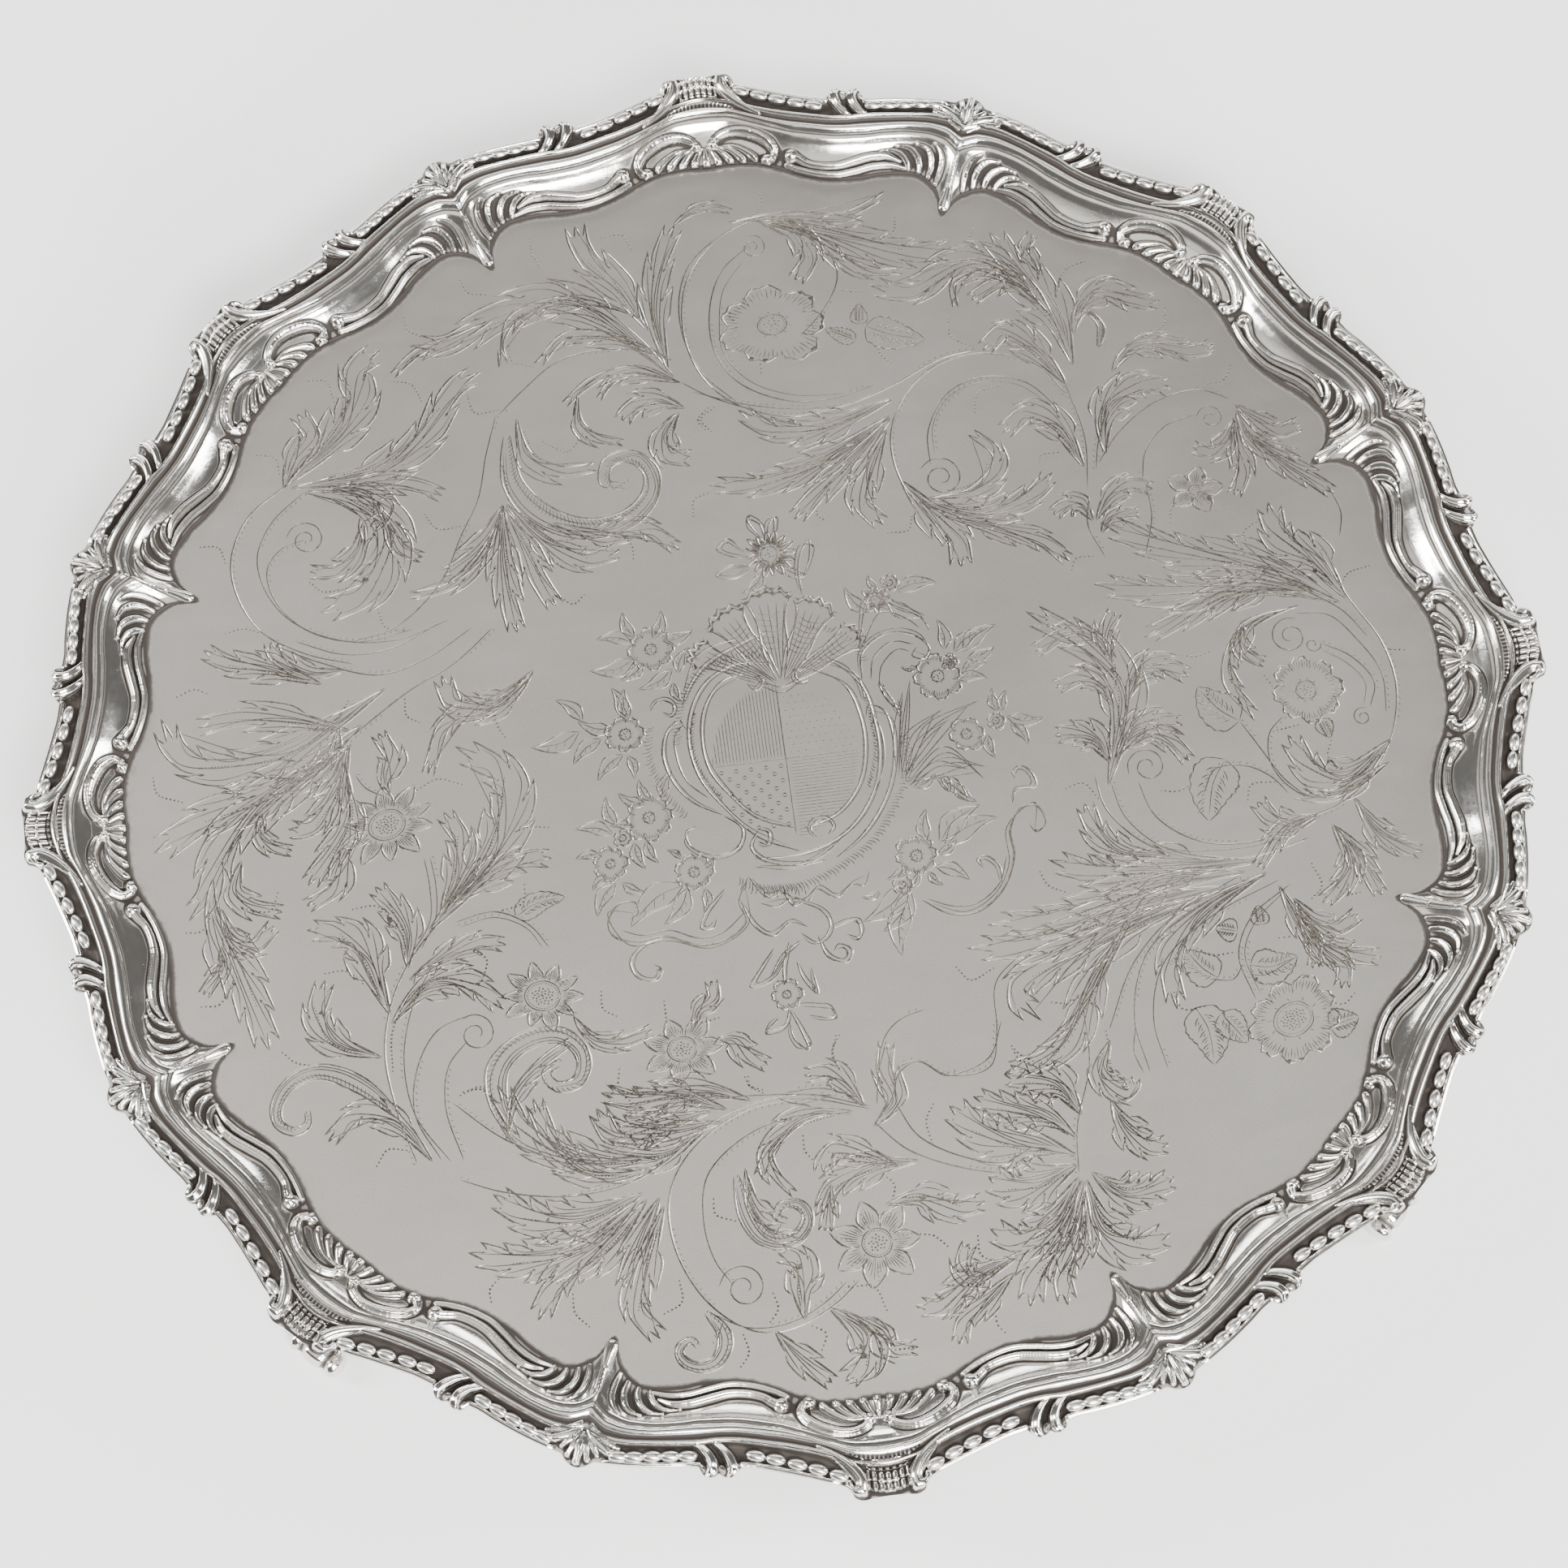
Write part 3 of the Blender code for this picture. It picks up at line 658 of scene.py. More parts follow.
def rimSection(k):
    held, angle = fullGrid(-border["columns"], border["columns"], 45.0 * k)
    radius = gridRadius[:, held]
    top = ground[:, held]
    plan = polarPoint(angle, radius)
    rows, columns = top.shape
    under = np.r_[np.arange(0, rows - 1, 8), rows - 1]
    share = rowShare[under]
    lowest = throughPoints(border["hollowed"], share)
    topPoints = np.concatenate([plan, top[..., None]], -1).reshape(-1, 3)
    low = np.repeat(lowest[:, None], columns, 1)
    lowPoints = np.concatenate([plan[under], low[..., None]], -1).reshape(-1, 3)
    points = np.concatenate([topPoints, lowPoints]) * mm
    points[:, 2] += plateTop
    index = np.arange(rows * columns).reshape(rows, columns)
    beneath = rows * columns + np.arange(len(under) * columns).reshape(len(under), columns)

    def quads(grid, flip):
        a, b, c, d = grid[:-1, :-1], grid[:-1, 1:], grid[1:, 1:], grid[1:, :-1]
        ring = (a, d, c, b) if flip else (a, b, c, d)
        return np.stack(ring, -1).reshape(-1, 4)

    inner = np.stack([beneath[0], index[0]])
    outer = np.stack([beneath[-1], index[-1]])
    faces = [quads(index, False), quads(beneath, True), quads(inner, False), quads(outer, True)]
    for column, flip in ((0, True), (columns - 1, False)):
        ring = np.concatenate([index[:, column], beneath[::-1, column]])
        faces.append((ring[::-1] if flip else ring)[None, :])
    mesh = meshFrom(f"rim_{k + 1}", points, faces, 62)
    shade = np.concatenate([tarnishOf(held).ravel(), np.full(lowPoints.shape[0], 0.3)])
    addAttribute(mesh, "tarnish", shade)
    return putPiece(f"rim_{k + 1}", mesh, borderMaterial, [f"rim_section_{k + 1}"])


mount = {"rise": 0.03, "sink": 0.28, "depth": 0.6}


def mountPiece(name, relief, columnsFrom, columnsTo, about, nodes):
    # the part of a relief that stands above the ground, closed underneath just inside what it sits on
    held, angle = fullGrid(columnsFrom, columnsTo, about)
    z, base = relief[:, held], ground[:, held]
    raised = z > base + mount["rise"]
    cell = raised[:-1, :-1] | raised[1:, :-1] | raised[:-1, 1:] | raised[1:, 1:]
    # cells that meet only at a corner get a neighbour, so that the piece stays one closed skin
    for _ in range(2):
        a, b, c, d = cell[:-1, :-1], cell[:-1, 1:], cell[1:, :-1], cell[1:, 1:]
        cell[:-1, 1:] |= a & d & ~b & ~c
        cell[:-1, :-1] |= b & c & ~a & ~d
    corner = np.zeros(raised.shape, bool)
    for dr in (0, 1):
        for dc in (0, 1):
            corner[dr:dr + cell.shape[0], dc:dc + cell.shape[1]] |= cell
    top = np.where(raised, z, base - mount["sink"])
    number = np.full(raised.shape, -1)
    number[corner] = np.arange(corner.sum())
    plan = polarPoint(angle, gridRadius[:, held])[corner]
    bottom = np.maximum(base - mount["depth"], 0.12)[corner]
    count = len(plan)
    points = np.zeros((2 * count, 3))
    points[:count, :2] = plan
    points[count:, :2] = plan
    points[:count, 2] = np.maximum(top[corner], bottom + 0.05)
    points[count:, 2] = bottom
    points *= mm
    points[:, 2] += plateTop
    r, c = np.nonzero(cell)
    a, b, d, e = number[r, c], number[r, c + 1], number[r + 1, c + 1], number[r + 1, c]
    faces = [np.stack([a, b, d, e], -1), np.stack([a, e, d, b], -1) + count]
    padded = np.pad(cell, 1)
    walls = []
    sides = (((-1, 0), (0, 0), (0, 1)), ((1, 0), (1, 1), (1, 0)),
             ((0, -1), (1, 0), (0, 0)), ((0, 1), (0, 1),
                                         (1, 1)))  # step to the neighbour, two corners between
    for (dr, dc), first, second in sides:
        bare = cell & ~padded[1 + dr:1 + dr + cell.shape[0], 1 + dc:1 + dc + cell.shape[1]]
        r, c = np.nonzero(bare)
        p, q = number[r + first[0], c + first[1]], number[r + second[0], c + second[1]]
        walls.append(np.stack([q, p, p + count, q + count], -1))
    faces.append(np.concatenate(walls))
    mesh = meshFrom(name, points, faces, 75)
    shade = tarnishOf(held)[corner]
    addAttribute(mesh, "tarnish", np.concatenate([shade, np.ones(count)]))
    return putPiece(name, mesh, mountMaterial, nodes)


half = border["columns"]
for k in range(bayCount):
    rimSection(k)
    turn = 45.0 * k
    mountPiece(f"fan_{k + 1}", reliefs["fan"], -half, half, turn, [f"corner_fan_{k + 1}"])
    mountPiece(f"shell_{k + 1}", reliefs["shell"], -half, half, turn, [f"shell_mount_{k + 1}"])
    mountPiece(f"scroll_right_{k + 1}", reliefs["scroll"], 0, half, turn, [f"scroll_mount_right_{k + 1}"])
    mountPiece(f"scroll_left_{k + 1}", reliefs["scroll"], -half, 0, turn, [f"scroll_mount_left_{k + 1}"])
    mountPiece(f"spur_{k + 1}", reliefs["leaf"], 0, 2 * half, turn, [f"spur_mount_{k + 1}"])
print("border solids made")


beads = {
    "rows": (
        [(3.5, 0.970), (5.0, 0.961), (6.5, 0.954), (8.1, 0.9478), (9.6, 0.944)],
        [(14.6, 0.951), (15.9, 0.954), (17.2, 0.9578), (18.5, 0.9622), (19.65, 0.9655)],
    ),
    "length": 6.5,
    "width": 3.6,
    "flutes": 8,
    "centre": 8.3,  # height above the plate
    "around": 24,
    "along": 13,
}


def beadPoints():
    # one bead about its own middle, long axis along x
    turn = np.linspace(0, 2 * math.pi, beads["around"], endpoint=False)
    share = np.linspace(-1, 1, beads["along"])
    bulge = np.maximum(1 - np.abs(share) ** 2.0, 0.0) ** 0.5 * 0.9 + 0.1
    flute = 1 - 0.03 * (0.5 + 0.5 * np.cos(turn * beads["flutes"])) ** 1.5
    x = np.repeat(share[:, None] * beads["length"] / 2, len(turn), 1)
    y = bulge[:, None] * flute[None, :] * np.cos(turn)[None, :] * beads["width"] / 2
    z = bulge[:, None] * flute[None, :] * np.sin(turn)[None, :] * beads["width"] / 2
    return np.stack([x, y, z], -1)


def beadRow(k):
    # the beads of one bay, each turned towards the next one in its row
    bead = beadPoints()
    index = np.arange(bead.shape[0] * bead.shape[1]).reshape(bead.shape[:2])
    quads = tubeFaces(index)
    caps = np.stack([index[0][::-1], index[-1]])
    bead = bead.reshape(-1, 3)
    pairs = [pair for row in beads["rows"] for pair in zip(row, row[1:] + row[-2:-1])]
    points, faces, ends = [], [], []
    for side in (1, -1):
        for place, neighbour in pairs:
            here, there = polarPoint(*place), polarPoint(*neighbour)
            along = (there - here) / np.linalg.norm(there - here)
            if along[0] < 0:
                along = -along
            x = here[0] + bead[:, 0] * along[0] - bead[:, 1] * along[1]
            y = here[1] + bead[:, 0] * along[1] + bead[:, 1] * along[0]
            start = len(points) * len(bead)
            points.append(np.stack([side * x, y, bead[:, 2] + beads["centre"]], -1))
            faces.append((quads if side > 0 else quads[:, ::-1]) + start)
            ends.append((caps if side > 0 else caps[:, ::-1]) + start)
    points = turned(np.concatenate(points) * mm, 45.0 * k)
    points[:, 2] += plateTop
    mesh = meshFrom(f"beads_{k + 1}", points, [np.concatenate(faces), np.concatenate(ends)], 50)
    # darker the lower a point lies below the bead's middle, down towards the channel it sits in
    shade = 0.7 * np.clip((beads["centre"] - (points[:, 2] - plateTop) / mm) / 0.9, 0, 1)
    addAttribute(mesh, "tarnish", shade)
    return putPiece(f"beads_{k + 1}", mesh, beadMaterial)


for k in range(bayCount):
    beadRow(k)
print("beads made")


foot = {
    # (inset from the fan's edge, share of the drop, width, thickness) in mm down the leg
    "leg": ((52, 0, 24, 3), (43, 0, 25, 3), (31, 0.05, 21, 4), (22, 0.23, 16, 4.6), (17.6, 0.48, 12, 4.4),
            (15.6, 0.72, 11, 4.0), (10.4, 0.92, 13.5, 3.8), (5.4, 1.0, 15.5, 3.6)),
    "reach": 254.75,  # the fan's edge from the middle of the plate
    "drop": (1.85, 30.0),  # the leg's middle line below the plate's underside, at its root and at the toe
    "stand": 33.9,  # from the plate's underside to the table
    "toeWidth": 20.4,
    "toe": ((0, 0.3), (0.008, 1.5), (0.03, 2.9), (0.075, 4.05), (0.13, 4.5), (0.185, 4.15),
    (0.225, 3.5), (0.26, 3.15),
            (0.30, 3.35), (0.35, 4.0), (0.40, 4.35), (0.5, 4.5)),
    "toeRings": 41,  # to the middle of the toe
    "stations": 52,
    "across": 29,
    "around": 40,
}


def footPiece(k):
    # a scrolled leg with a raised band between two rolls, and a toe with a knob at each end
    table = np.array(foot["leg"], float)
    numbers = np.arange(len(table))
    at = np.linspace(0, len(table) - 1, foot["stations"])
    inset, share, width, thick = [throughPoints(np.stack([numbers, table[:, c]], 1), at) for c in range(4)]
    y = foot["reach"] - inset
    z = -(foot["drop"][0] + (foot["drop"][1] - foot["drop"][0]) * share)
    tilt = np.arctan2(-np.gradient(z), np.gradient(y))
    u = np.linspace(-1, 1, foot["across"])
    crown = np.maximum(1 - u**4, 0) ** 0.5
    hollow = np.exp(-(((np.abs(u) - 0.60) / 0.14) ** 2))
    upper = crown * (1 - 0.85 * hollow * smoothStep(1.0, 2.6, at)[:, None])
    x = np.concatenate([np.repeat(u[None, :], len(at), 0), np.repeat(u[None, -2:0:-1], len(at), 0)], 1)
    out = np.concatenate([upper, -np.repeat(crown[None, -2:0:-1], len(at), 0)], 1) * thick[:, None] / 2
    rings = np.stack([x * width[:, None] / 2, y[:, None] + out * np.sin(tilt)[:, None],
                      z[:, None] + out * np.cos(tilt)[:, None]], -1)
    legShade = np.concatenate([hollow, np.full(foot["across"] - 2, 0.45)])
    legShade = np.repeat(legShade[None, :], len(at), 0)
    toHalf = np.linspace(0, 0.5, foot["toeRings"])
    shares = np.concatenate([toHalf, 1 - toHalf[-2::-1]])
    radius = throughPoints(foot["toe"], toHalf)
    radius = np.concatenate([radius, radius[-2::-1]])
    turn = np.linspace(0, 2 * math.pi, foot["around"], endpoint=False)
    middle = smoothStep(0.26, 0.32, shares) * smoothStep(0.74, 0.68, shares)
    radius = radius[:, None] * (1 - 0.07 * middle[:, None] * (0.5 + 0.5 * np.cos(10 * turn))[None, :] ** 2)
    toe = np.stack([np.repeat(((shares - 0.5) * foot["toeWidth"])[:, None], len(turn), 1),
                    y[-1] + radius * np.cos(turn)[None, :], z[-1] + radius * np.sin(turn)[None, :]], -1)
    groove = np.clip((3.9 - radius.mean(1)) / 0.8, 0, 1) * (np.abs(shares - 0.5) < 0.34)
    toeShade = np.repeat(groove[:, None], len(turn), 1)
    points, faces, caps, shades = [], [], [], []
    for grid, shade in ((rings, legShade), (toe, toeShade)):
        first = sum(len(p) for p in points)
        rows, around = grid.shape[:2]
        index = first + np.arange(rows * around).reshape(rows, around)
        faces.append(tubeFaces(index))
        caps += [index[0][None, ::-1], index[-1][None, :]]
        points.append(grid.reshape(-1, 3))
        shades.append(shade.ravel())
    points = np.concatenate(points)
    points[:, 2] = np.maximum(points[:, 2], -foot["stand"])
    points = turned(points * mm, 45.0 + 90.0 * k)
    points[:, 2] += plateUnder
    mesh = meshFrom(f"foot_piece_{k + 1}", points, faces + caps, 50)
    bm = bmesh.new()
    bm.from_mesh(mesh)
    bmesh.ops.recalc_face_normals(bm, faces=bm.faces[:])
    bm.to_mesh(mesh)
    bm.free()
    addAttribute(mesh, "tarnish", np.concatenate(shades) * 0.6)
    return putPiece(f"foot_piece_{k + 1}", mesh, mountMaterial, [f"foot_{k + 1}"])


for k in range(4):
    footPiece(k)
print("feet made")


# the plate, its engraving and its underside

engraving = {
    "line": 0.37,  # half width in mm of the main cuts
    "fine": 0.20,
    "depth": 0.17,
    "step": 1.7,
    "dot": 0.42,
    "dotPitch": 1.35,
    "bold": (0.29, 0.4),  # half widths of the bold strokes that get a bright groove beside them: a painted highlight
    # the painted highlight: a bright groove lies this way from each bold stroke, towards the light, at this
    # share of its width
    "highlightSide": (0.75, -0.66),
    "highlightShare": 0.6,
    "seed": 7,
}
# places in mm on the plate, x to the right and y to the back
# acanthus leaves: rib from root to tip, claws to a side, reach, side (0 both, 1 left, -1 right)
acanthus = [
    ([(-21, 141), (-40, 164), (-60, 177), (-80, 173), (-99, 164), (-112, 166)], 7, 8, 0),
    ([(-80, 173), (-93, 168), (-109, 164), (-119, 156)], 4, 5, 1),
    ([(-28, 160), (-37, 180), (-47, 193), (-49, 205)], 4, 7, 0),
    ([(-23, 144), (-25, 168), (-21, 187), (-14, 201)], 5, 6, 0),
    ([(-29, 165), (-47, 176), (-69, 176), (-81, 165), (-81, 153)], 5, 6, 1),
    ([(-21, 148), (-40, 160), (-59, 163), (-69, 153)], 5, 6, 1),
    ([(-19, 139), (-37, 148), (-52, 144), (-61, 137)], 4, 5, 1),
    ([(-19, 139), (-33, 144), (-43, 144), (-49, 137)], 3, 4, 1),
    ([(-77, 133), (-73, 117), (-63, 112), (-52, 113)], 4, 7, -1),
    ([(-55, 139), (-55, 128), (-51, 123), (-41, 120)], 3, 5, -1),
    ([(-19, 129), (-28, 133), (-37, 132), (-41, 127)], 4, 6, 0),
    ([(-21, 128), (-27, 120), (-27, 112), (-19, 110)], 4, 6, 0),
    ([(-85, 101), (-93, 87), (-103, 79), (-108, 77)], 4, 6, 0),
    ([(-87, 96), (-99, 79), (-111, 73), (-120, 73)], 4, 5, 1),
    ([(-85, 101), (-87, 83), (-87, 67), (-85, 53)], 5, 6, 0),
    ([(-85, 100), (-79, 83), (-76, 72), (-71, 61)], 4, 6, 0),
    ([(-84, 101), (-73, 87), (-61, 77), (-47, 79)], 5, 6, 0),
    ([(-69, 92), (-53, 85), (-40, 87), (-27, 76)], 5, 5, 0),
    ([(-157, 119), (-141, 133), (-130, 148), (-131, 159), (-121, 166)], 6, 8, 0),
    ([(-159, 117), (-154, 129), (-148, 136), (-152, 145)], 4, 6, 0),
    ([(-157, 117), (-125, 120), (-108, 131), (-98, 147), (-87, 153)], 7, 7, 0),
    ([(-147, 114), (-128, 115), (-115, 113), (-105, 107)], 4, 5, 0),
    ([(-152, 115), (-133, 108), (-125, 95), (-131, 77), (-151, 69)], 7, 9, 0),
    ([(-128, 107), (-123, 96), (-121, 89), (-114, 85)], 3, 4, 0),
    ([(-133, 101), (-136, 91), (-144, 84), (-153, 85)], 4, 5, 0),
    ([(-144, 116), (-131, 112), (-124, 104), (-131, 99)], 3, 5, 0),
    ([(4, 199), (24, 200), (43, 197), (61, 204)], 6, 5, -1),
    ([(13, 199), (37, 191), (59, 180), (83, 177)], 7, 8, 0),
    ([(16, 197), (28, 191), (31, 181), (25, 173)], 4, 6, 0),
    ([(24, 198), (37, 187), (48, 175), (64, 173)], 5, 5, -1),
    ([(-15, 200), (-8, 204), (-1, 205), (6, 202)], 3, 4, 1),
    ([(112, 147), (102, 165), (84, 173), (64, 163), (50, 168)], 7, 7, 0),
    ([(102, 160), (90, 168), (79, 165), (78, 155)], 4, 4, 1),
    ([(108, 152), (99, 163), (91, 161), (85, 157)], 3, 5, 0),
    ([(116, 127), (113, 147), (104, 164), (95, 183)], 6, 9, 0),
    ([(111, 163), (108, 171), (106, 175), (110, 180)], 3, 4, 0),
    ([(113, 120), (104, 135), (95, 144), (86, 137)], 5, 6, 0),
    ([(114, 88), (108, 104), (99, 112), (88, 105)], 5, 6, 0),
    ([(118, 139), (122, 149), (132, 155), (142, 149), (150, 148)], 5, 6, 0),
    ([(129, 123), (136, 131), (148, 131), (158, 127), (166, 129)], 5, 5, 0),
    ([(122, 92), (124, 107), (135, 117), (149, 114)], 6, 7, 0),
    ([(51, 92), (59, 79), (67, 68), (67, 57)], 5, 7, 0), ([(56, 83), (78, 76), (94, 80),
      (103, 88)], 6, 6, 0),
    ([(59, 84), (78, 87), (84, 97), (76, 106)], 5, 6, -1),
    ([(63, 77), (83, 69), (96, 63), (104, 54)], 5, 5, 0),
    ([(53, 123), (28, 116), (11, 116), (-1, 126)], 6, 6, 0),
    ([(51, 117), (28, 104), (4, 97), (-15, 99)], 7, 6, 0),
    ([(51, 116), (32, 99), (23, 92), (13, 82)], 5, 6, 0), ([(49, 112), (40, 96), (36, 87),
      (43, 76)], 5, 6, 0),
    ([(169, 105), (175, 99), (182, 93), (190, 95)], 4, 5, 0),
    ([(169, 103), (172, 93), (178, 87), (187, 83)], 4, 5, 0),
    ([(168, 100), (167, 89), (168, 81), (163, 71)], 4, 5, 0),
    ([(168, 100), (163, 91), (159, 88), (152, 91)], 3, 5, 0),
    ([(170, 95), (182, 81), (191, 73), (197, 67)], 5, 5, 0),
    ([(114, 68), (110, 75), (105, 75), (101, 72)], 3, 5, 0),
    ([(115, 68), (122, 77), (128, 80), (136, 77)], 4, 5, 0),
    ([(116, 63), (120, 68), (124, 69), (130, 69)], 3, 4, 0),
    ([(-131, 39), (-153, 27), (-183, 16), (-201, 23), (-207, 38)], 7, 8, 0),
    ([(-144, 25), (-168, 33), (-181, 35), (-195, 33)], 4, 6, 0),
    ([(-140, 27), (-169, 8), (-195, 0), (-213, -10)], 7, 9, 0),
    ([(-144, 20), (-173, 5), (-191, -11), (-196, -27), (-203, -35)], 7, 8, 0),
    ([(-194, -21), (-195, -37), (-188, -53), (-180, -83)], 7, 8, 0),
    ([(-176, 0), (-177, -8), (-173, -13), (-167, -15)], 3, 4, 0),
    ([(-184, -16), (-187, -27), (-181, -33), (-172, -36)], 4, 5, 0),
    ([(-192, -32), (-189, -43), (-183, -47), (-175, -40)], 4, 5, 0),
    ([(-193, -45), (-193, -52), (-196, -56), (-200, -61)], 3, 4, 0),
    ([(-152, 43), (-169, 51), (-183, 55), (-191, 61)], 5, 6, 0),
    ([(-144, 47), (-157, 48), (-167, 56), (-168, 61)], 4, 5, 0),
    ([(-81, 39), (-92, 29), (-108, 29), (-112, 41)], 5, 6, 0),
    ([(-81, 38), (-95, 28), (-111, 25), (-120, 6)], 4, 4, 0),
    ([(-148, 27), (-152, 13), (-163, 8), (-173, 9)], 4, 6, 0),
    ([(-145, 20), (-153, 1), (-161, -8), (-168, -7)], 5, 6, 0),
    ([(-147, 15), (-148, 1), (-148, -8), (-163, -28)], 5, 6, 0),
    ([(-133, 0), (-135, 7), (-131, 12), (-135, 23)], 4, 5, 0),
    ([(-144, -13), (-151, -19), (-152, -28), (-164, -35)], 4, 5, 0),
    ([(-125, -49), (-111, -35), (-96, -16), (-93, 0), (-110, 15)], 8, 9, 0),
    ([(-117, -41), (-104, -33), (-93, -28), (-82, -29)], 5, 6, 0),
    ([(-121, -45), (-113, -29), (-111, -19), (-116, -8)], 5, 6, 0),
    ([(-140, -76), (-145, -59), (-148, -48), (-165, -43)], 6, 7, 0),
    ([(-133, -61), (-132, -48), (-135, -40), (-141, -31)], 5, 6, 0),
    ([(-144, -90), (-157, -84), (-164, -74), (-160, -61)], 5, 6, 0),
    ([(-140, -79), (-128, -68), (-115, -67), (-103, -79)], 6, 6, 0),
    ([(-133, -65), (-121, -59), (-109, -55), (-100, -57)], 5, 5, 0),
    ([(-131, -127), (-140, -114), (-152, -107), (-164, -116)], 5, 5, 0),
    ([(-107, -123), (-104, -110), (-99, -102), (-83, -91)], 5, 5, -1),
    ([(-27, -120), (-43, -114), (-60, -116), (-75, -111)], 6, 6, 0),
    ([(-40, -122), (-59, -124), (-72, -127), (-77, -116)], 5, 6, 0),
    ([(-81, -84), (-76, -92), (-67, -95), (-56, -92)], 3, 4, 0),
    ([(-43, -94), (-40, -87), (-35, -84), (-35, -78)], 3, 4, 0),
    ([(-37, -100), (-31, -98), (-27, -104), (-20, -109)], 3, 5, 0),
    ([(192, 27), (166, 37), (139, 37), (110, 45)], 8, 8, 0),
    ([(184, 32), (162, 37), (139, 29), (124, 23)], 6, 6, 0),
    ([(190, 29), (171, 44), (144, 51), (116, 67)], 8, 8, 0),
    ([(194, 28), (186, 44), (176, 52), (174, 67)], 6, 8, 0),
    ([(178, 28), (159, 24), (148, 8), (156, -12)], 7, 6, 1),
    ([(158, 25), (156, 16), (159, 11), (163, 9)], 3, 4, 0),
    ([(104, -28), (110, -11), (114, 7), (108, 20), (86, 38)], 7, 8, 0),
    ([(111, 19), (108, 25), (98, 28), (87, 23)], 4, 5, 0),
    ([(112, 16), (111, 23), (112, 28), (116, 34)], 4, 5, 0),
    ([(115, 1), (119, 9), (127, 13), (137, 7)], 5, 6, 0), ([(110, 0), (107, 8), (102, 12),
      (92, 9)], 4, 5, 0),
    ([(106, -20), (102, -11), (96, -8), (89, -8)], 5, 6, 0),
    ([(108, -19), (114, -11), (122, -7), (132, -10)], 5, 6, 0),
    ([(112, -16), (122, -12), (128, -16), (132, -23)], 4, 5, 0),
    ([(119, -55), (104, -51), (98, -45), (95, -33)], 5, 6, 0),
    ([(148, -61), (120, -59), (99, -59), (80, -51)], 8, 8, 0),
    ([(144, -64), (112, -64), (84, -72), (57, -71)], 9, 8, 0),
    ([(138, -68), (102, -72), (75, -80), (49, -78)], 8, 8, 0),
    ([(131, -70), (94, -80), (63, -95), (70, -106)], 8, 8, 0),
    ([(104, -76), (88, -95), (78, -114), (55, -122)], 7, 6, 0),
    ([(151, -65), (131, -74), (115, -88), (114, -108)], 7, 6, 0),
    ([(175, -51), (179, -64), (175, -72), (167, -78)], 5, 5, 0),
    ([(176, -52), (182, -63), (184, -70), (187, -78)], 5, 5, 0),
    ([(184, -43), (190, -56), (195, -61), (203, -65)], 5, 5, 0),
    ([(171, -48), (162, -49), (156, -47), (152, -40)], 4, 6, 0),
    ([(171, -47), (158, -51), (154, -56), (148, -63)], 4, 4, 0),
    ([(200, -24), (184, -35), (174, -35), (166, -18)], 7, 7, 0),
    ([(198, -32), (184, -40), (176, -43), (164, -41)], 5, 5, -1),
    ([(158, -75), (164, -84), (171, -87), (178, -83)], 4, 5, 0),
    ([(158, -76), (164, -90), (171, -96), (183, -99)], 5, 6, 0),
    ([(158, -80), (163, -92), (170, -100), (168, -108)], 5, 5, 0),
    ([(154, -70), (158, -83), (162, -92), (160, -100)], 5, 4, 0),
    ([(11, -134), (19, -126), (17, -115), (19, -106)], 4, 5, 0),
    ([(9, -127), (4, -119), (0, -114), (-9, -114)], 4, 5, 0),
    ([(-35, -122), (-53, -115), (-64, -116), (-75, -111)], 5, 6, 0),
    ([(-37, -126), (-59, -126), (-72, -123), (-77, -116)], 5, 6, 0),
    ([(-43, -128), (-59, -134), (-69, -132), (-76, -130)], 5, 6, 0),
    ([(-59, -136), (-83, -132), (-99, -123), (-108, -104)], 7, 7, 0),
    ([(-61, -139), (-79, -138), (-91, -128), (-97, -110)], 5, 6, 0),
    ([(-65, -146), (-83, -151), (-99, -151), (-113, -140)], 7, 8, 0),
    ([(-67, -148), (-85, -160), (-107, -163), (-123, -158)], 8, 8, 0),
    ([(-64, -148), (-79, -162), (-93, -168), (-103, -183)], 7, 7, 0),
    ([(-60, -148), (-67, -159), (-72, -168), (-75, -176)], 4, 5, 0),
    ([(-59, -151), (-67, -168), (-72, -182), (-65, -194)], 5, 6, 0),
    ([(5, -128), (-9, -128), (-20, -135), (-27, -147)], 5, 6, -1),
    ([(-16, -131), (-24, -140), (-20, -147), (-16, -152)], 4, 5, -1),
    ([(-32, -142), (-32, -156), (-27, -166), (-16, -168)], 6, 7, 1),
    ([(17, -148), (5, -142), (-5, -140), (-7, -147)], 4, 6, 0),
    ([(24, -147), (8, -147), (-5, -152), (-9, -160)], 5, 6, 0),
    ([(-5, -151), (-7, -158), (-8, -162), (-9, -166)], 3, 4, 0),
    ([(11, -160), (23, -159), (31, -164), (43, -163)], 5, 6, 0),
    ([(-19, -194), (-19, -184), (-17, -176), (-25, -171)], 5, 6, 0),
    ([(-29, -196), (-24, -203), (-20, -208), (-13, -215)], 4, 5, 0),
    ([(-11, -191), (-3, -198), (1, -206), (-9, -215)], 5, 7, 0),
    ([(-3, -195), (4, -200), (5, -206), (15, -207)], 3, 5, 0),
    ([(74, -155), (64, -158), (53, -160), (45, -155)], 6, 9, 0),
    ([(74, -152), (61, -146), (48, -143), (36, -130)], 7, 9, 0),
    ([(75, -146), (67, -138), (55, -134), (44, -128)], 6, 7, 0),
    ([(78, -139), (72, -128), (65, -126), (55, -122)], 6, 7, 0),
    ([(74, -159), (64, -172), (53, -178), (43, -172)], 7, 8, 0),
    ([(75, -160), (67, -176), (56, -187), (52, -199)], 7, 8, 0),
    ([(75, -162), (71, -179), (64, -188), (64, -200)], 6, 6, 0),
    ([(76, -160), (78, -175), (86, -184), (100, -181)], 7, 8, 0),
    ([(78, -158), (87, -166), (96, -166), (104, -163)], 6, 7, 0),
    ([(51, -182), (36, -187), (24, -195), (16, -194)], 6, 6, 0),
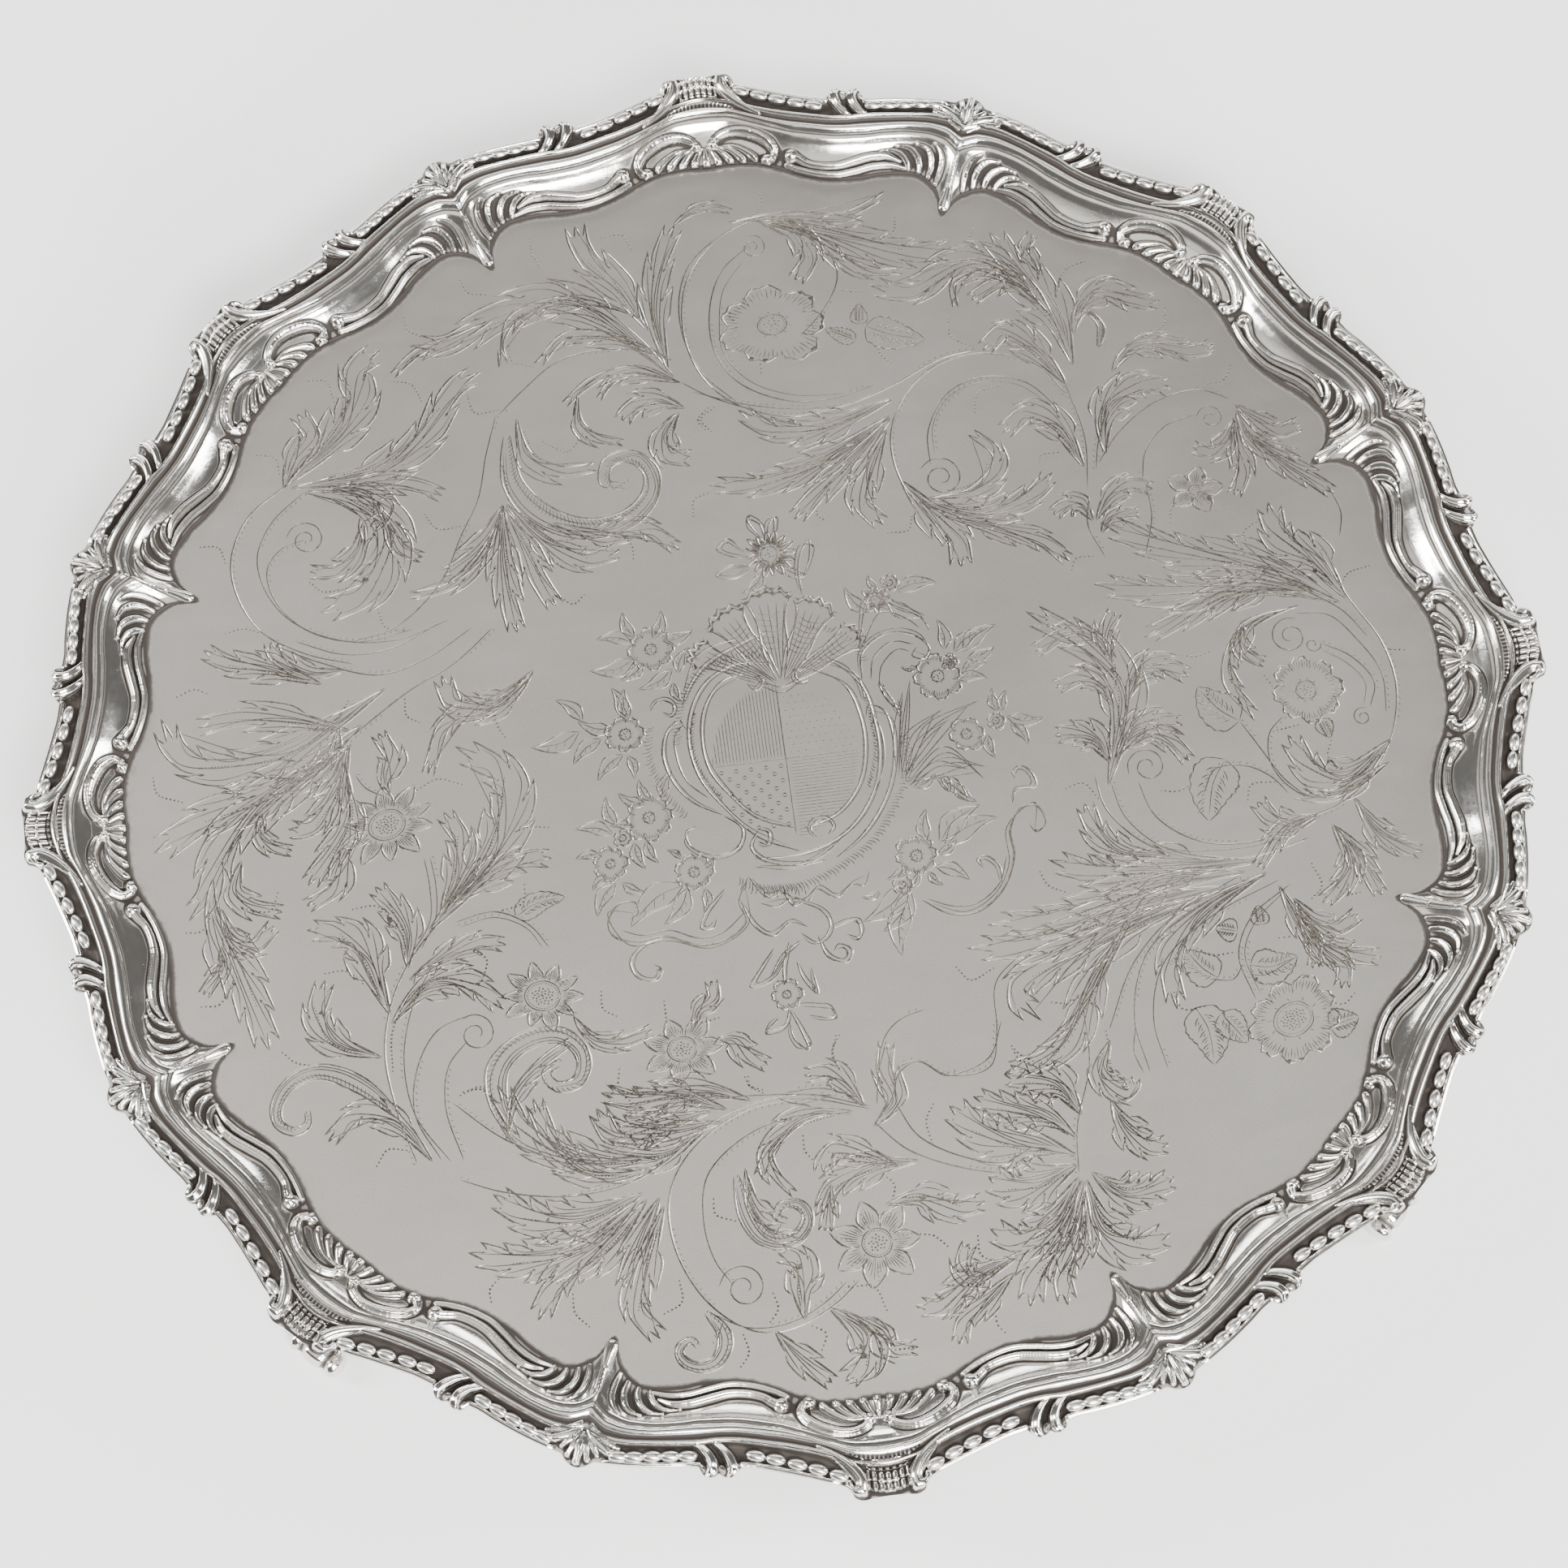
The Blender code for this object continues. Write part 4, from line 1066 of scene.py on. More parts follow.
    ([(49, -187), (39, -195), (31, -200), (28, -208)], 5, 5, 0),
    ([(43, -187), (35, -187), (33, -182), (36, -176)], 4, 5, 0),
    ([(91, -115), (86, -126), (94, -134), (96, -128)], 5, 5, 0),
    ([(88, -135), (91, -144), (98, -152), (104, -152)], 5, 6, 0),
]
stems = [
    ([(-84, 135), (-89, 120), (-93, 105), (-100, 92), (-109, 75), (-125, 61), (-141, 57)], 0.26),
    ([(-157, 119), (-172, 108), (-179, 93), (-178, 79), (-171, 65), (-157, 55), (-141, 49)], 0.3),
    ([(-152, 115), (-164, 105), (-170, 93), (-168, 79), (-160, 67), (-144, 58), (-125, 56),
      (-107, 61)], 0.22),
    ([(-153, 97), (-161, 95), (-167, 88), (-165, 75), (-155, 63), (-139, 57), (-120, 59)], 0.26),
    ([(-21, 149), (-40, 155), (-60, 153), (-73, 144), (-83, 135)], 0.26),
    ([(-1, 193), (-11, 184), (-16, 171), (-16, 155), (-11, 141), (-1, 129)], 0.28),
    ([(-19, 139), (-11, 133), (0, 127)], 0.24),
    ([(15, 200), (0, 193), (-12, 179), (-16, 160), (-12, 141), (-1, 128), (17, 121), (37, 123),
      (53, 128), (71, 136), (84, 138)], 0.3),
    ([(11, 189), (0, 180), (-6, 165), (-6, 149), (1, 136), (17, 127), (33, 126), (47, 129)], 0.26),
    ([(8, 183), (0, 173), (-3, 161), (-3, 148), (5, 136), (19, 129), (37, 127)], 0.16),
    ([(24, 199), (36, 187), (40, 173), (33, 160), (24, 151)], 0.22),
    ([(112, 117), (104, 129), (87, 136), (70, 134), (57, 124), (50, 109), (51, 92), (59, 77),
      (65, 63)], 0.3),
    ([(109, 111), (99, 123), (84, 127), (71, 122), (63, 109), (62, 96)], 0.26),
    ([(105, 115), (95, 123), (83, 125), (72, 121), (65, 111), (64, 100)], 0.14),
    ([(114, 80), (116, 99), (114, 113), (110, 129), (103, 139)], 0.2),
    ([(118, 87), (120, 96), (126, 112)], 0.2),
    ([(119, 89), (128, 100), (143, 110), (158, 112), (168, 107)], 0.24),
    ([(133, 81), (136, 92), (144, 100), (155, 103)], 0.24), ([(134, 80), (134, 67), (130, 54)], 0.24),
    ([(114, 77), (112, 67), (116, 54)], 0.22), ([(-16, 135), (4, 127), (25, 123), (44, 124)], 0.18),
    ([(196, 68), (198, 60), (196, 51)], 0.2),
    ([(-93, 56), (-107, 45), (-123, 37), (-141, 25), (-152, 17)], 0.28),
    ([(-168, 60), (-152, 51), (-133, 44), (-116, 48), (-100, 57)], 0.26),
    ([(-160, 60), (-144, 53), (-128, 53), (-111, 60)], 0.24), ([(-144, 9), (-141, 4), (-135, 0)], 0.22),
    ([(-124, -23), (-123, -33), (-124, -45), (-131, -56)], 0.26),
    ([(-122, -23), (-121, -33), (-122, -44), (-128, -55)], 0.2),
    ([(-116, -47), (-103, -45), (-92, -51), (-86, -60)], 0.22),
    ([(-115, -49), (-103, -47), (-93, -52), (-88, -60)], 0.16),
    ([(-136, -127), (-141, -108), (-143, -88), (-139, -71), (-131, -57), (-120, -45)], 0.3),
    ([(-125, -128), (-135, -111), (-137, -92), (-133, -75), (-125, -61)], 0.22),
    ([(-113, -79), (-125, -83), (-133, -95), (-135, -111), (-128, -127)], 0.26),
    ([(-116, -88), (-123, -96), (-125, -110), (-121, -128)], 0.26),
    ([(-81, -83), (-79, -90), (-72, -92)], 0.24), ([(-63, -120), (-40, -118), (-20, -119),
      (0, -122)], 0.24),
    ([(-19, -120), (-13, -123), (-1, -122)], 0.2),
    ([(188, 47), (195, 28), (203, 11), (205, -5), (201, -21), (192, -35), (180, -44), (168, -48)], 0.3),
    ([(163, 53), (176, 37), (192, 24), (199, 13)], 0.24), ([(183, 13), (192, 7), (198, -3),
      (195, -12)], 0.24),
    ([(182, 11), (190, 5), (195, -3), (193, -11)], 0.14),
    ([(176, 25), (187, 23), (195, 13), (201, 0), (200, -15)], 0.22),
    ([(100, -24), (102, -36), (112, -49), (128, -57), (147, -59), (167, -55)], 0.3),
    ([(105, -27), (108, -40), (119, -52), (134, -55), (152, -55), (164, -51)], 0.2),
    ([(114, -28), (118, -41), (130, -51), (146, -54), (162, -51)], 0.26),
    ([(151, -11), (156, -21), (162, -33), (168, -40)], 0.22),
    ([(166, -11), (160, -17), (159, -28), (164, -37), (171, -41), (184, -40)], 0.22),
    ([(135, -35), (140, -27), (150, -27), (158, -32), (163, -39)], 0.24),
    ([(151, -66), (126, -74), (107, -88), (100, -108), (102, -128)], 0.28),
    ([(155, -68), (130, -78), (112, -92), (106, -110), (108, -128)], 0.22),
    ([(158, -70), (143, -80), (137, -92), (140, -108)], 0.26),
    ([(156, -72), (144, -82), (139, -92), (142, -107)], 0.16), ([(126, -99), (134, -100), (138, -95)], 0.2),
    ([(139, -99), (144, -100), (156, -95)], 0.2), ([(99, -80), (87, -96), (76, -114), (65, -120)], 0.4),
    ([(142, -65), (118, -76), (102, -91), (91, -112)], 0.26),
    ([(16, -128), (15, -115), (19, -104), (25, -99), (33, -97)], 0.22),
    ([(19, -128), (21, -118), (28, -114), (37, -120), (51, -119), (55, -107), (57, -91), (67, -82)], 0.24),
    ([(-16, -119), (-4, -119), (8, -124)], 0.22), ([(100, -111), (98, -120), (100, -128)], 0.2),
    ([(-123, -108), (-108, -122), (-91, -132), (-72, -142), (-61, -139), (-37, -124), (-12, -120),
      (11, -127)], 0.3),
    ([(-123, -134), (-109, -140), (-88, -144), (-69, -142), (-60, -138)], 0.26),
    ([(11, -128), (-9, -122), (-29, -123), (-48, -134), (-57, -148), (-57, -166), (-49, -184),
      (-36, -195), (-24, -196), (-9, -190), (0, -183)], 0.3),
    ([(5, -129), (-11, -127), (-29, -131), (-44, -143), (-47, -158), (-45, -171), (-40, -180)], 0.24),
    ([(-48, -188), (-37, -194), (-24, -194), (-12, -189), (-4, -183)], 0.22),
    ([(11, -132), (21, -143), (37, -151), (51, -154), (63, -150)], 0.3),
    ([(19, -127), (25, -139), (39, -148), (51, -151), (61, -147)], 0.26),
    ([(13, -127), (15, -116), (19, -106)], 0.22),
    ([(19, -126), (21, -116), (28, -114), (36, -120), (39, -120), (51, -116), (57, -104)], 0.24),
    ([(74, -158), (76, -142), (83, -122), (84, -102)], 0.26), ([(-48, -198), (-45, -191)], 0.2),
    ([(-9, -191), (3, -203), (1, -214), (-9, -216)], 0.22),
]
pouncing = [
    [(-65, 202), (-65, 196), (-62, 189)], [(-91, 189), (-89, 184), (-83, 182)],
    [(-112, 177), (-111, 172), (-107, 169)], [(-40, 199), (-33, 199), (-30, 192)],
    [(-147, 157), (-141, 156), (-139, 148)], [(-119, 153), (-112, 151), (-109, 144)],
    [(-93, 144), (-91, 137), (-83, 137)], [(-167, 131), (-161, 129), (-160, 123)],
    [(-77, 161), (-76, 155), (-69, 152)], [(-84, 117), (-83, 111), (-83, 101)],
    [(-189, 99), (-183, 98), (-181, 92)], [(-112, 101), (-108, 95), (-99, 95)],
    [(-153, 81), (-149, 77), (-141, 77)], [(-131, 68), (-129, 61), (-123, 59)],
    [(-183, 66), (-177, 67), (-172, 65)], [(-11, 128), (-15, 124), (-13, 120)],
    [(-15, 96), (-20, 94), (-21, 88)], [(-33, 142), (-35, 137)], [(-47, 85), (-43, 80), (-43, 75)],
    [(-69, 64), (-65, 61), (-61, 64)], [(-69, 123), (-61, 118), (-55, 124)], [(17, 210), (17, 204),
     (13, 200)],
    [(91, 187), (88, 181), (91, 176)], [(63, 193), (62, 188), (57, 185)], [(41, 167), (44, 166), (47, 166)],
    [(128, 167), (120, 165), (116, 160)], [(151, 145), (150, 139), (142, 135)],
    [(76, 151), (76, 144), (83, 139)], [(170, 120), (167, 115), (161, 114)], [(1, 165), (1, 161), (3, 160)],
    [(9, 144), (9, 139)], [(50, 144), (51, 140), (54, 137)], [(-9, 128), (-14, 124), (-11, 119)],
    [(80, 114), (82, 121), (90, 123)], [(99, 92), (100, 95), (106, 95)], [(44, 73), (51, 73), (53, 78)],
    [(22, 87), (21, 83), (24, 80)], [(140, 64), (141, 69), (144, 72)], [(170, 61), (164, 57), (164, 54)],
    [(-201, 45), (-195, 47), (-191, 45)], [(-211, 17), (-210, 11), (-202, 7)],
    [(-204, -39), (-199, -39), (-196, -35)], [(-185, -33), (-176, -35), (-173, -29)],
    [(-201, -65), (-195, -65), (-191, -59)], [(-125, 34), (-125, 28), (-121, 25)],
    [(-96, 27), (-95, 20), (-93, 16)], [(-124, 1), (-117, 4), (-109, 1)],
    [(-149, -38), (-141, -38), (-135, -45)], [(-160, -59), (-153, -59), (-148, -64)],
    [(-100, -45), (-93, -43), (-92, -37)], [(-112, -57), (-107, -61), (-109, -68)],
    [(-93, -18), (-88, -17), (-82, -18)], [(-176, -84), (-172, -88), (-165, -90)],
    [(-149, -126), (-145, -121), (-139, -122)], [(-119, -105), (-113, -105), (-110, -109)],
    [(-71, -77), (-71, -83), (-67, -86)], [(-51, -83), (-51, -90)], [(-41, -92), (-34, -91)],
    [(-68, -104), (-69, -111), (-65, -116)], [(-28, -112), (-27, -115), (-23, -118)],
    [(-99, -116), (-93, -112)], [(-141, -95), (-140, -82), (-136, -74)], [(-144, 36), (-152, 23)],
    [(93, 37), (93, 32), (96, 29)], [(104, 51), (106, 55), (112, 55)], [(192, 30), (196, 37), (204, 39)],
    [(136, 15), (140, 14), (145, 15)], [(204, 8), (210, 7)], [(90, -27), (96, -26), (100, -32)],
    [(121, -32), (126, -33), (130, -32)], [(162, 4), (164, 0)], [(142, 1), (142, -3)],
    [(149, -39), (151, -34), (159, -34)], [(163, -16), (170, -15)], [(180, -22), (178, -27), (180, -32)],
    [(77, -55), (79, -60), (84, -63)], [(45, -84), (49, -89), (57, -86)], [(74, -100), (79, -101),
     (84, -99)],
    [(4, -102), (1, -107), (2, -112)], [(59, -114), (61, -118), (65, -120)],
    [(124, -88), (128, -91), (135, -91)], [(114, -102), (116, -108), (123, -108)], [(151, -88), (156, -88)],
    [(164, -112), (168, -113), (172, -110)], [(166, -64), (168, -72), (164, -76)],
    [(172, -71), (175, -76), (180, -76)], [(112, 19), (113, 12), (111, 5)],
    [(-120, -106), (-113, -104), (-110, -110)], [(-68, -104), (-69, -111), (-65, -116)],
    [(-27, -112), (-27, -115), (-23, -117)], [(3, -102), (1, -108), (2, -112)],
    [(59, -113), (61, -116), (65, -119)], [(31, -129), (28, -134), (29, -142)],
    [(-12, -134), (-12, -139), (-10, -142)], [(-43, -151), (-43, -156), (-37, -159)],
    [(12, -150), (15, -154), (13, -160)], [(21, -171), (25, -172), (29, -176)],
    [(39, -174), (39, -180), (43, -183)], [(-4, -185), (4, -186), (7, -194)],
    [(-117, -175), (-117, -171), (-114, -168)], [(-87, -187), (-91, -182), (-91, -176)],
    [(-63, -186), (-57, -183), (-57, -176)], [(-30, -193), (-27, -189), (-28, -184)],
    [(-41, -206), (-38, -202), (-39, -196)], [(-17, -196), (-13, -199), (-15, -204)], [(8, -207),
     (15, -207)],
    [(41, -199), (41, -203), (43, -206)], [(90, -112), (90, -119), (89, -127)],
    [(-99, -116), (-97, -113), (-94, -112)],
]
curls = [
    ((-153, 97), 7, 170, -1.6, 0.24), ((12, 188), 5, 110, -1.5, 0.24), ((65, 91), 8, 150, -1.7, 0.26),
    ((160, 101), 5, 170, -1.4, 0.2), ((-113, -86), 7, 130, -1.5, 0.24), ((118, -23), 7, 200, -1.6, 0.24),
    ((173, 17), 7, 60, 1.6, 0.22), ((180, 13), 3, 10, -1.2, 0.2), ((192, -15), 3.5, 60, 1.4, 0.2),
    ((-37, -181), 8, 170, -1.6, 0.26),
]
blooms = [
    ((-135, -10), 6.5, 17, 10, 0, 0.8, 20), ((-90, -76), 6, 14, 10, 0, 0.85, -10),
    ((-47, -100), 5, 14, 7, 0, 0.85, 0), ((175, -3), 3.5, 12, 8, 1, 1, 0),
    ((151, -116), 7, 16, 9, 1, 0.8, 25), ((7, -172), 5, 15, 7, 0, 0.95, 0),
    ((15, 157), 4, 15, 7, 1, 1.3, 95), ((150, 75), 2, 10, 5, 0, 0.9, 0),
]
heartLeaves = [
    ((151, -11), (139, 3), 7, 1.5), ((144, -24), (135, -45), 8, -2), ((129, -99), (120, -88), 6, 1),
    ((140, -96), (156, -95), 6, -2), ((120, -108), (123, -128), 7, 2), ((128, -111), (135, -122), 5, 0),
    ((138, -84), (131, -82), 4, 0), ((146, -83), (146, -76), 3, 0), ((162, -120), (172, -118), 5, 0),
    ((178, -14), (180, -21), 3, 0), ((-96, -48), (-79, -43), 4, 2), ((47, 152), (67, 144), 6, -1),
    ((43, 147), (33, 153), 3, 0), ((45, 153), (46, 161), 3, 0),
]
horns = [
    ([(-81, 127), (-81, 109), (-72, 95), (-56, 88), (-40, 92), (-33, 103), (-36, 111), (-44, 114),
      (-50, 109), (-47, 101), (-41, 104)], 5.5),
    ([(-140, -111), (-151, -99), (-165, -92), (-176, -96), (-180, -106), (-175, -111), (-169, -108),
      (-170, -103)], 3.6),
    ([(-103, -124), (-108, -111), (-107, -98), (-96, -90), (-84, -91), (-79, -99), (-83, -107),
      (-91, -106), (-91, -100), (-85, -99)], 4.5),
    ([(-35, -144), (-33, -158), (-27, -167), (-17, -166), (-14, -159), (-20, -155), (-24, -159),
      (-19, -162)], 3.6),
    ([(-50, -187), (-45, -195), (-48, -203), (-56, -204), (-60, -199), (-56, -195), (-53, -199)], 3.0),
    ([(126, 133), (128, 141), (124, 147), (119, 144)], 1.5),
]
chance = np.random.default_rng(engraving["seed"])
cuts = []  # path, half widths, depth and whether it is a bright groove that stands in for a highlight (painted highlight), for every stroke
pits = []  # x, y and radius of every punched dot


def cut(points, width=engraving["line"], depth=None, swell=0.5, step=engraving["step"]):
    path = smoothPath(np.array(points, float)[:, :2], step)
    t = np.linspace(0, 1, len(path))
    halfs = width * np.maximum(np.sin(np.pi * t), 0) ** swell
    deepest = depth or min(engraving["depth"], 0.8 * width)
    cuts.append((path, halfs, deepest, False))
    lowest, highest = engraving["bold"]
    if lowest <= width < highest and len(path) > 4:  # a bright groove beside a bold stroke, on the side towards the light: a painted highlight
        highlightHalfs = engraving["highlightShare"] * halfs
        highlightHalfs[[0, 1, -2, -1]] = 0
        beside = path[1:-1] + np.array(engraving["highlightSide"]) * (width + 0.08)
        cuts.append((beside, highlightHalfs[1:-1], 0.8 * deepest, True))


def ribbon(points):
    # gives a function that turns (share along the path, mm to its left) into a place
    path = smoothPath(np.array(points, float), 0.8)
    along = np.gradient(path, axis=0)
    along /= np.linalg.norm(along, axis=1)[:, None] + 1e-9
    reached = np.concatenate([[0], np.cumsum(np.linalg.norm(np.diff(path, axis=0), axis=1))])
    reached /= reached[-1]

    def at(share, out=0.0):
        share = float(share)
        x = np.interp(share, reached, path[:, 0])
        y = np.interp(share, reached, path[:, 1])
        dx = np.interp(share, reached, along[:, 0])
        dy = np.interp(share, reached, along[:, 1])
        past = max(share - 1, 0) * 10
        return (x - dy * out + dx * past, y + dx * out + dy * past)

    return at


def acanthusLeaf(points, claws, reach, side):
    # a leaf along its rib: long lines from the root, hooked claws beyond them, a teardrop at each notch
    at = ribbon(points)
    line, fine = engraving["line"], engraving["fine"]
    claws = max(2, round(0.60 * claws))
    reach = 1.15 * reach
    first = 0.30

    def spread(share):
        return min(1.0, (share + 0.06) / 0.46) * max(1 - share, 0.02) ** 0.42 * 1.16

    pitch = 0.60 / claws
    for hand in (1, -1):
        if side and hand != side:
            cut([at(0), at(0.35, -0.10 * side * reach), at(0.7, -0.07 * side * reach), at(1)], line)
            continue
        notch = 0.5 * reach * spread(first) * hand
        cut([at(0, 0.05 * notch), at(0.15, 0.55 * notch), at(first, notch)], line)
        for k in range(claws):
            start = first + k * pitch
            notch, following = [0.5 * reach * spread(start + j * pitch) * hand for j in (0, 1)]
            grown = reach * spread(start + pitch) * hand * (0.96 + 0.08 * chance.random())
            tip = at(start + 1.42 * pitch, 1.04 * grown)
            cut([at(start, notch), at(start + 0.30 * pitch, 0.3 * notch + 0.7 * grown),
                 at(start + 0.85 * pitch, 0.98 * grown), tip])
            cut([tip, at(start + 1.12 * pitch, 0.76 * grown), at(start + pitch, following)], 0.85 * line)
            cut([at(start + 1.02 * pitch, 0.78 * grown), at(start + 0.35 * pitch, 0.52 * grown),
                 at(0.6 * start, 0.24 * grown), at(0.25 * start, 0.07 * grown)], fine)
            if k < claws - 1:
                cut([at(start + 1.02 * pitch, 1.08 * following), at(start + 0.80 * pitch, 0.84 * following)],
                    0.5, 0.26)
        cut([at(0.90, 0.36 * reach * spread(0.92) * hand), at(0.96, 0.18 * reach * spread(0.96) * hand),
             at(1.0)])
    cut([at(0.0), at(0.45), at(0.95)], fine)
    if reach > 6:
        pounce([at(0.15, 0.14 * reach), at(0.45, 0.18 * reach), at(0.75, 0.09 * reach)], 0.8)


def pounce(points, scale=1.0):
    at = ribbon(points)
    length = pathLength(points)
    count = max(3, int(length / (engraving["dotPitch"] * scale)))
    for k in range(count + 1):
        swollen = 0.75 + 0.25 * math.sin(math.pi * k / count)
        pits.append((*at(k / count), engraving["dot"] * scale * swollen))


def bloom(place, disc, reach, petals, ruffled, squash, tilt):
    a0 = math.radians(tilt)

    def at(angle, radius):
        a = math.radians(angle)
        x, y = radius * math.cos(a), radius * math.sin(a) * squash
        return (place[0] + x * math.cos(a0) - y * math.sin(a0),
                place[1] + x * math.sin(a0) + y * math.cos(a0))

    pitch = 360 / petals
    for k in range(petals):
        middle = k * pitch + 4 * chance.random()
        longer = reach * (0.92 + 0.16 * chance.random())
        if ruffled:
            edge = []
            for j in range(7):
                part = j / 6 - 0.5
                wave = 0.80 + 0.20 * math.cos(math.pi * part) ** 0.5 + 0.03 * (-1) ** j
                edge.append(at(middle + pitch * part, longer * wave))
            cut(edge)
            cut([at(middle - pitch / 2, 0.82 * longer), at(middle - 0.46 * pitch, 0.62 * longer)], 0.3, 0.2)
            for j in range(9):
                turn = middle + pitch * (j / 9 - 0.45)
                cut([at(turn, 0.93 * longer), at(turn, (0.72 - 0.08 * (j % 2)) * longer)],
                    0.8 * engraving["fine"])
        else:
            for hand in (1, -1):
                cut([at(middle + 0.40 * hand * pitch, disc * 1.08),
                     at(middle + 0.44 * hand * pitch, 0.62 * longer),
                     at(middle + 0.16 * hand * pitch, 0.86 * longer), at(middle, longer)])
            for j in range(7):
                turn = middle + pitch * (j - 3) * 0.11
                inner = disc * 1.15
                cut([at(turn, inner), at(turn, inner + (longer - inner) * (0.72 - 0.12 * abs(j - 3)))],
                    0.8 * engraving["fine"])
            for j in range(4):
                share = 0.5 + 0.1 * j
                cut([at(middle + 0.36 * pitch * (1.25 - share), share * longer),
                     at(middle + 0.10 * pitch, (share + 0.03) * longer)], 0.8 * engraving["fine"])
    cut([at(a, disc) for a in range(0, 361, 45)], 0.2, swell=0.1)
    count = max(10, int(disc * 6))
    for k in range(count):
        pits.append((*at(360 * k / count, disc * 0.84), 0.24))
    for k in range(max(5, int(disc * disc * 0.9))):
        pits.append((*at(137.5 * k, disc * 0.62 * math.sqrt(k / (disc * disc * 0.9))), 0.34))
    for k in range(10):
        cut([at(36 * k, 1.02 * disc), at(36 * k + 5, 1.32 * disc)], 0.18)


def heartLeaf(root, tip, width, bend):
    middle = ((root[0] + tip[0]) / 2, (root[1] + tip[1]) / 2)
    along = np.array(tip, float) - root
    along /= np.linalg.norm(along)
    at = ribbon([root, (middle[0] - along[1] * bend, middle[1] + along[0] * bend), tip])
    cut([at(0), at(0.4), at(0.9)], 0.18)
    for hand in (1, -1):
        outline = []
        for k in range(15):
            share = k / 14
            out = width * math.sin(math.pi * share ** 0.62) ** 0.8 if 0 < share < 1 else 0
            outline.append(at(share, hand * out * (1 + 0.05 * (-1) ** k)))
        cut(outline, 0.24, swell=0.25)
        for k in range(6):
            share = 0.16 + 0.12 * k
            out = hand * width * (0.72 - 0.3 * abs(share - 0.4))
            cut([at(share, 0.18 * out), at(share + 0.05, 0.55 * out), at(share + 0.13, 0.8 * out)],
                0.24, 0.15)
            cut([at(share + 0.06, 0.3 * out), at(share + 0.12, 0.55 * out)], engraving["fine"])


def horn(points, width):
    at = ribbon(points)
    length = pathLength(points)

    def halfAt(share):
        return width * min(1, (share + 0.03) / 0.3) ** 0.7 * (1 - 0.72 * share)

    count = 14
    for hand in (1, -1):
        cut([at(0.98 * k / count, hand * halfAt(k / count)) for k in range(count + 1)], swell=0.3)
    for k in range(int(length / 1.5)):
        share = k * 1.5 / length
        w = halfAt(share)
        cut([at(share, 0.95 * w), at(share + 0.012, 0.5 * w), at(share + 0.016, 0.12 * w)],
            0.8 * engraving["fine"])
    for level in (0.45, -0.35, -0.7):
        cut([at(0.05 + 0.8 * k / 8, level * halfAt(0.05 + 0.8 * k / 8)) for k in range(9)],
            engraving["fine"])


def curl(place, radius, start, turns, width):
    count = int(abs(turns) * 9)
    points = []
    for k in range(count + 1):
        t = k / count
        a = math.radians(start) + 2 * math.pi * turns * t
        r = radius * (1 - 0.78 * t)
        points.append((place[0] + r * math.cos(a), place[1] + r * math.sin(a)))
    cut(points, width, swell=0.25)


for leaf in acanthus:
    acanthusLeaf(*leaf)
for points, width in stems:
    cut(points, width, swell=0.3)
    at = ribbon(points)
    length = pathLength(points)
    for k in range(int(length / 2.2)):
        if math.sin(k * 0.21 + length) > 0.1:
            share = k * 2.2 / length
            cut([at(share, 0.45), at(share + 0.8 / length, 1.5)], 0.8 * engraving["fine"])
for points in pouncing:
    pounce(points)
for spiral in curls:
    curl(*spiral)
for flower in blooms:
    bloom(*flower)
for place in heartLeaves:
    heartLeaf(*place)
for points, width in horns:
    horn(points, width)

